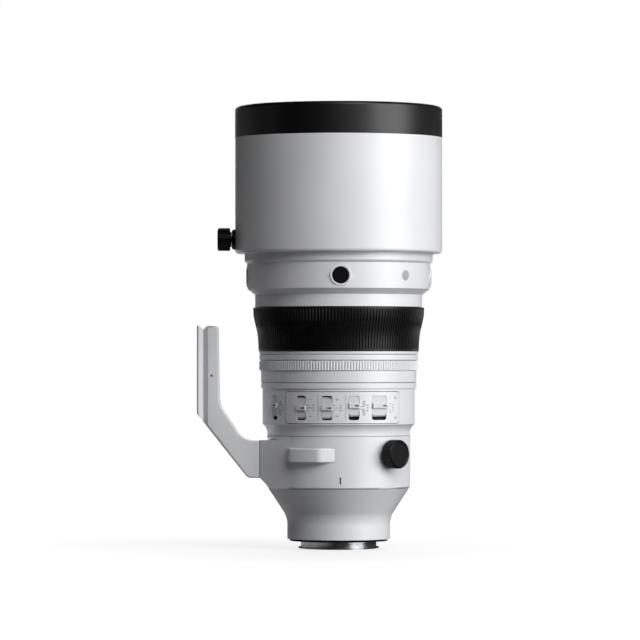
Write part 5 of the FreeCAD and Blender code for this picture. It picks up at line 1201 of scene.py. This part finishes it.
# %% Light that doesn't light the lens
def seen_light(tree, field):
    rays = add_node(tree, "LightPath").outputs
    mirrored = add_node(tree, "Math", {
        0: rays["Is Glossy Ray"], 1: rays["Is Transmission Ray"]}, operation="MAXIMUM")
    reflected = add_node(tree, "Math", {0: mirrored.outputs[0], 1: field}, operation="MULTIPLY")
    shown = add_node(tree, "Math", {
        0: rays["Is Camera Ray"], 1: reflected.outputs[0]}, operation="MAXIMUM")
    return shown.outputs[0]


# %% [markdown]
# ## Floor
# The lens stands on white paper. The paper keeps a faint shadow near the lens, and farther out its
# own light brings it up to the white of the background. Reflections meet that light far behind the
# lens and, at half strength, close on its left. Elsewhere they meet a darker paper than the camera
# does, and that keeps the black bands and the polished mount full of contrast.

# %% Floor
FLOOR_SIZE = 6.0
FLOOR_CLEARANCE = 0.2
floor_mesh = bpy.data.meshes.new("floor")
bm = bmesh.new()
bmesh.ops.create_grid(bm, x_segments=1, y_segments=1, size=FLOOR_SIZE)
bm.to_mesh(floor_mesh)
bm.free()
floor = bpy.data.objects.new("floor", floor_mesh)
floor.location.z = cad_box[0][2] - FLOOR_CLEARANCE * MM
bpy.context.collection.objects.link(floor)
print("the paper lies at", round(floor.location.z / MM, 2), "mm")

# Matt cotton paper: no gloss, the softest shadow. Distances are in metres from the optical axis
PAPER_GREY, PAPER_IN_MIRRORS = "78787A", "303031"
GLOW = {"From Min": 0.05, "From Max": 0.45, "To Min": 0.78, "To Max": 1.0}
FAR_BEHIND = {"From Min": 0.3, "From Max": 0.8}
ON_THE_LEFT = {"From Min": -0.03, "From Max": -0.055, "To Max": 0.5}
CLOSE_BY = {"From Min": 0.25, "From Max": 0.12}
paper, tree = open_graph("studio_paper")
place = add_node(tree, "TexCoord").outputs["Object"]
parts = add_node(tree, "SeparateXYZ", {"Vector": place})
distance = add_node(tree, "VectorMath", {0: place}, operation="LENGTH").outputs["Value"]
glow = add_node(tree, "MapRange", {"Value": distance, **GLOW})
behind = add_node(tree, "MapRange", {"Value": parts.outputs["Y"], **FAR_BEHIND})
beside = add_node(tree, "MapRange", {"Value": parts.outputs["X"], **ON_THE_LEFT})
close = add_node(tree, "MapRange", {"Value": distance, **CLOSE_BY})
left = add_node(tree, "Math", {
    0: beside.outputs["Result"], 1: close.outputs["Result"]}, operation="MULTIPLY")
field = add_node(tree, "Math", {
    0: behind.outputs["Result"], 1: left.outputs[0]}, operation="MAXIMUM")
strength = add_node(tree, "Math", {
    0: glow.outputs["Result"], 1: seen_light(tree, field.outputs[0])}, operation="MULTIPLY")
grey = add_node(tree, "MixRGB", {
    "Fac": add_node(tree, "LightPath").outputs["Is Glossy Ray"],
    "Color1": hex_colour(PAPER_GREY), "Color2": hex_colour(PAPER_IN_MIRRORS)})
close_graph(tree, {
    "Base Color": grey.outputs["Color"], "Roughness": 0.9, "Specular IOR Level": 0.1,
    "Emission Color": (1, 1, 1, 1), "Emission Strength": strength.outputs[0]})
floor_mesh.materials.append(paper)

# %% [markdown]
# ## Background
# The camera sees a white background. Glass and mirrors see it too, but only where it is, in a
# narrow field behind the lens. All around, the studio is dark, and that is what keeps the black
# rubber black and the polished metal full of contrast. A trace of grey stands for the room.

# %% Background
NARROW_FIELD = {"From Min": 0.97, "From Max": 0.99}
ROOM_LIGHT = 0.015
world = bpy.data.worlds.new("studio")
bpy.context.scene.world = world
world.use_nodes = True
tree = world.node_tree
tree.nodes.clear()
direction = add_node(tree, "TexCoord").outputs["Generated"]
behind = add_node(tree, "VectorMath", {0: direction, 1: (0, 1, 0)}, operation="DOT_PRODUCT")
field = add_node(tree, "MapRange", {"Value": behind.outputs["Value"], **NARROW_FIELD})
room = add_node(tree, "Background", {"Strength": ROOM_LIGHT})
backdrop = add_node(tree, "Background", {"Color": (1, 1, 1, 1), "Strength": 1.0})
mixed = add_node(tree, "MixShader", {
    0: seen_light(tree, field.outputs["Result"]), 1: room.outputs["Background"],
    2: backdrop.outputs["Background"]})
add_node(tree, "OutputWorld", {"Surface": mixed.outputs["Shader"]})
print("background of", len(tree.nodes), "nodes")

# %% [markdown]
# ## Lamps
# The photograph's highlights give the lamps away. A large softbox stands a little above the lens
# and well round to the right, where the black bands and the chrome reflect it. A second one hangs
# higher, nearer the camera, and lights the middle and the upper edges. A weak strip at the left
# puts the second reflection on the chrome and hardly lights the paint. A fourth stands behind the
# lens for the views from the back, and nothing that the front camera sees turns towards it.
# Each is set by its radiance, the brightness that a mirror shows, so its size can change freely.

# %% Lamps
LAMP_AIM = Vector((0, 0, 0.13))


def softbox(name, azimuth, elevation, distance, width, tall, radiance):
    """Azimuth and elevation in degrees, the other sizes in metres."""
    lamp = bpy.data.lights.new(name, "AREA")
    lamp.shape = "RECTANGLE"
    lamp.size, lamp.size_y = width, tall
    lamp.energy = radiance * math.pi * width * tall
    item = bpy.data.objects.new(name, lamp)
    turn, lift = math.radians(azimuth), math.radians(elevation)
    item.location = LAMP_AIM + distance * Vector((
        math.sin(turn) * math.cos(lift), -math.cos(turn) * math.cos(lift), math.sin(lift)))
    item.rotation_euler = (LAMP_AIM - item.location).to_track_quat("-Z", "Y").to_euler()
    bpy.context.collection.objects.link(item)
    print(name, round(lamp.energy, 1), "W")


softbox("key_softbox", azimuth=58, elevation=13, distance=1.5, width=1.2, tall=1.0, radiance=5.05)
softbox("top_softbox", azimuth=20, elevation=36, distance=1.9, width=1.0, tall=1.0, radiance=4.6)
softbox("left_strip", azimuth=-80, elevation=6, distance=1.5, width=0.4, tall=0.5, radiance=0.3)
softbox("back_softbox", azimuth=180, elevation=24, distance=1.9, width=1.5, tall=1.0, radiance=3.6)

# %% [markdown]
# ## Camera
# The photograph was taken from far away with a long lens, from a little below the object's middle
# and tipped up by half a degree. A long focal length at the same distance gives the same nearly
# parallel lines.

# %% Camera
CAMERA_TURN = math.radians(-1.05)
CAMERA_PITCH = math.radians(0.557)
CAMERA_PLACE = Vector((-0.0118, -2.729, 0.1128))
FOCAL_LENGTH = 242.9
SENSOR_WIDTH = 36
camera_data = bpy.data.cameras.new("camera")
camera_data.lens = FOCAL_LENGTH
camera_data.sensor_width = SENSOR_WIDTH
camera = bpy.data.objects.new("camera", camera_data)
camera.location = Matrix.Rotation(CAMERA_TURN, 3, "Z") @ CAMERA_PLACE
camera.rotation_euler = (math.pi / 2 + CAMERA_PITCH, 0, CAMERA_TURN)
bpy.context.collection.objects.link(camera)
bpy.context.scene.camera = camera
bpy.context.scene.view_settings.view_transform = "Standard"
print("the camera stands", round(camera.location.xy.length, 2), "m from the optical axis")
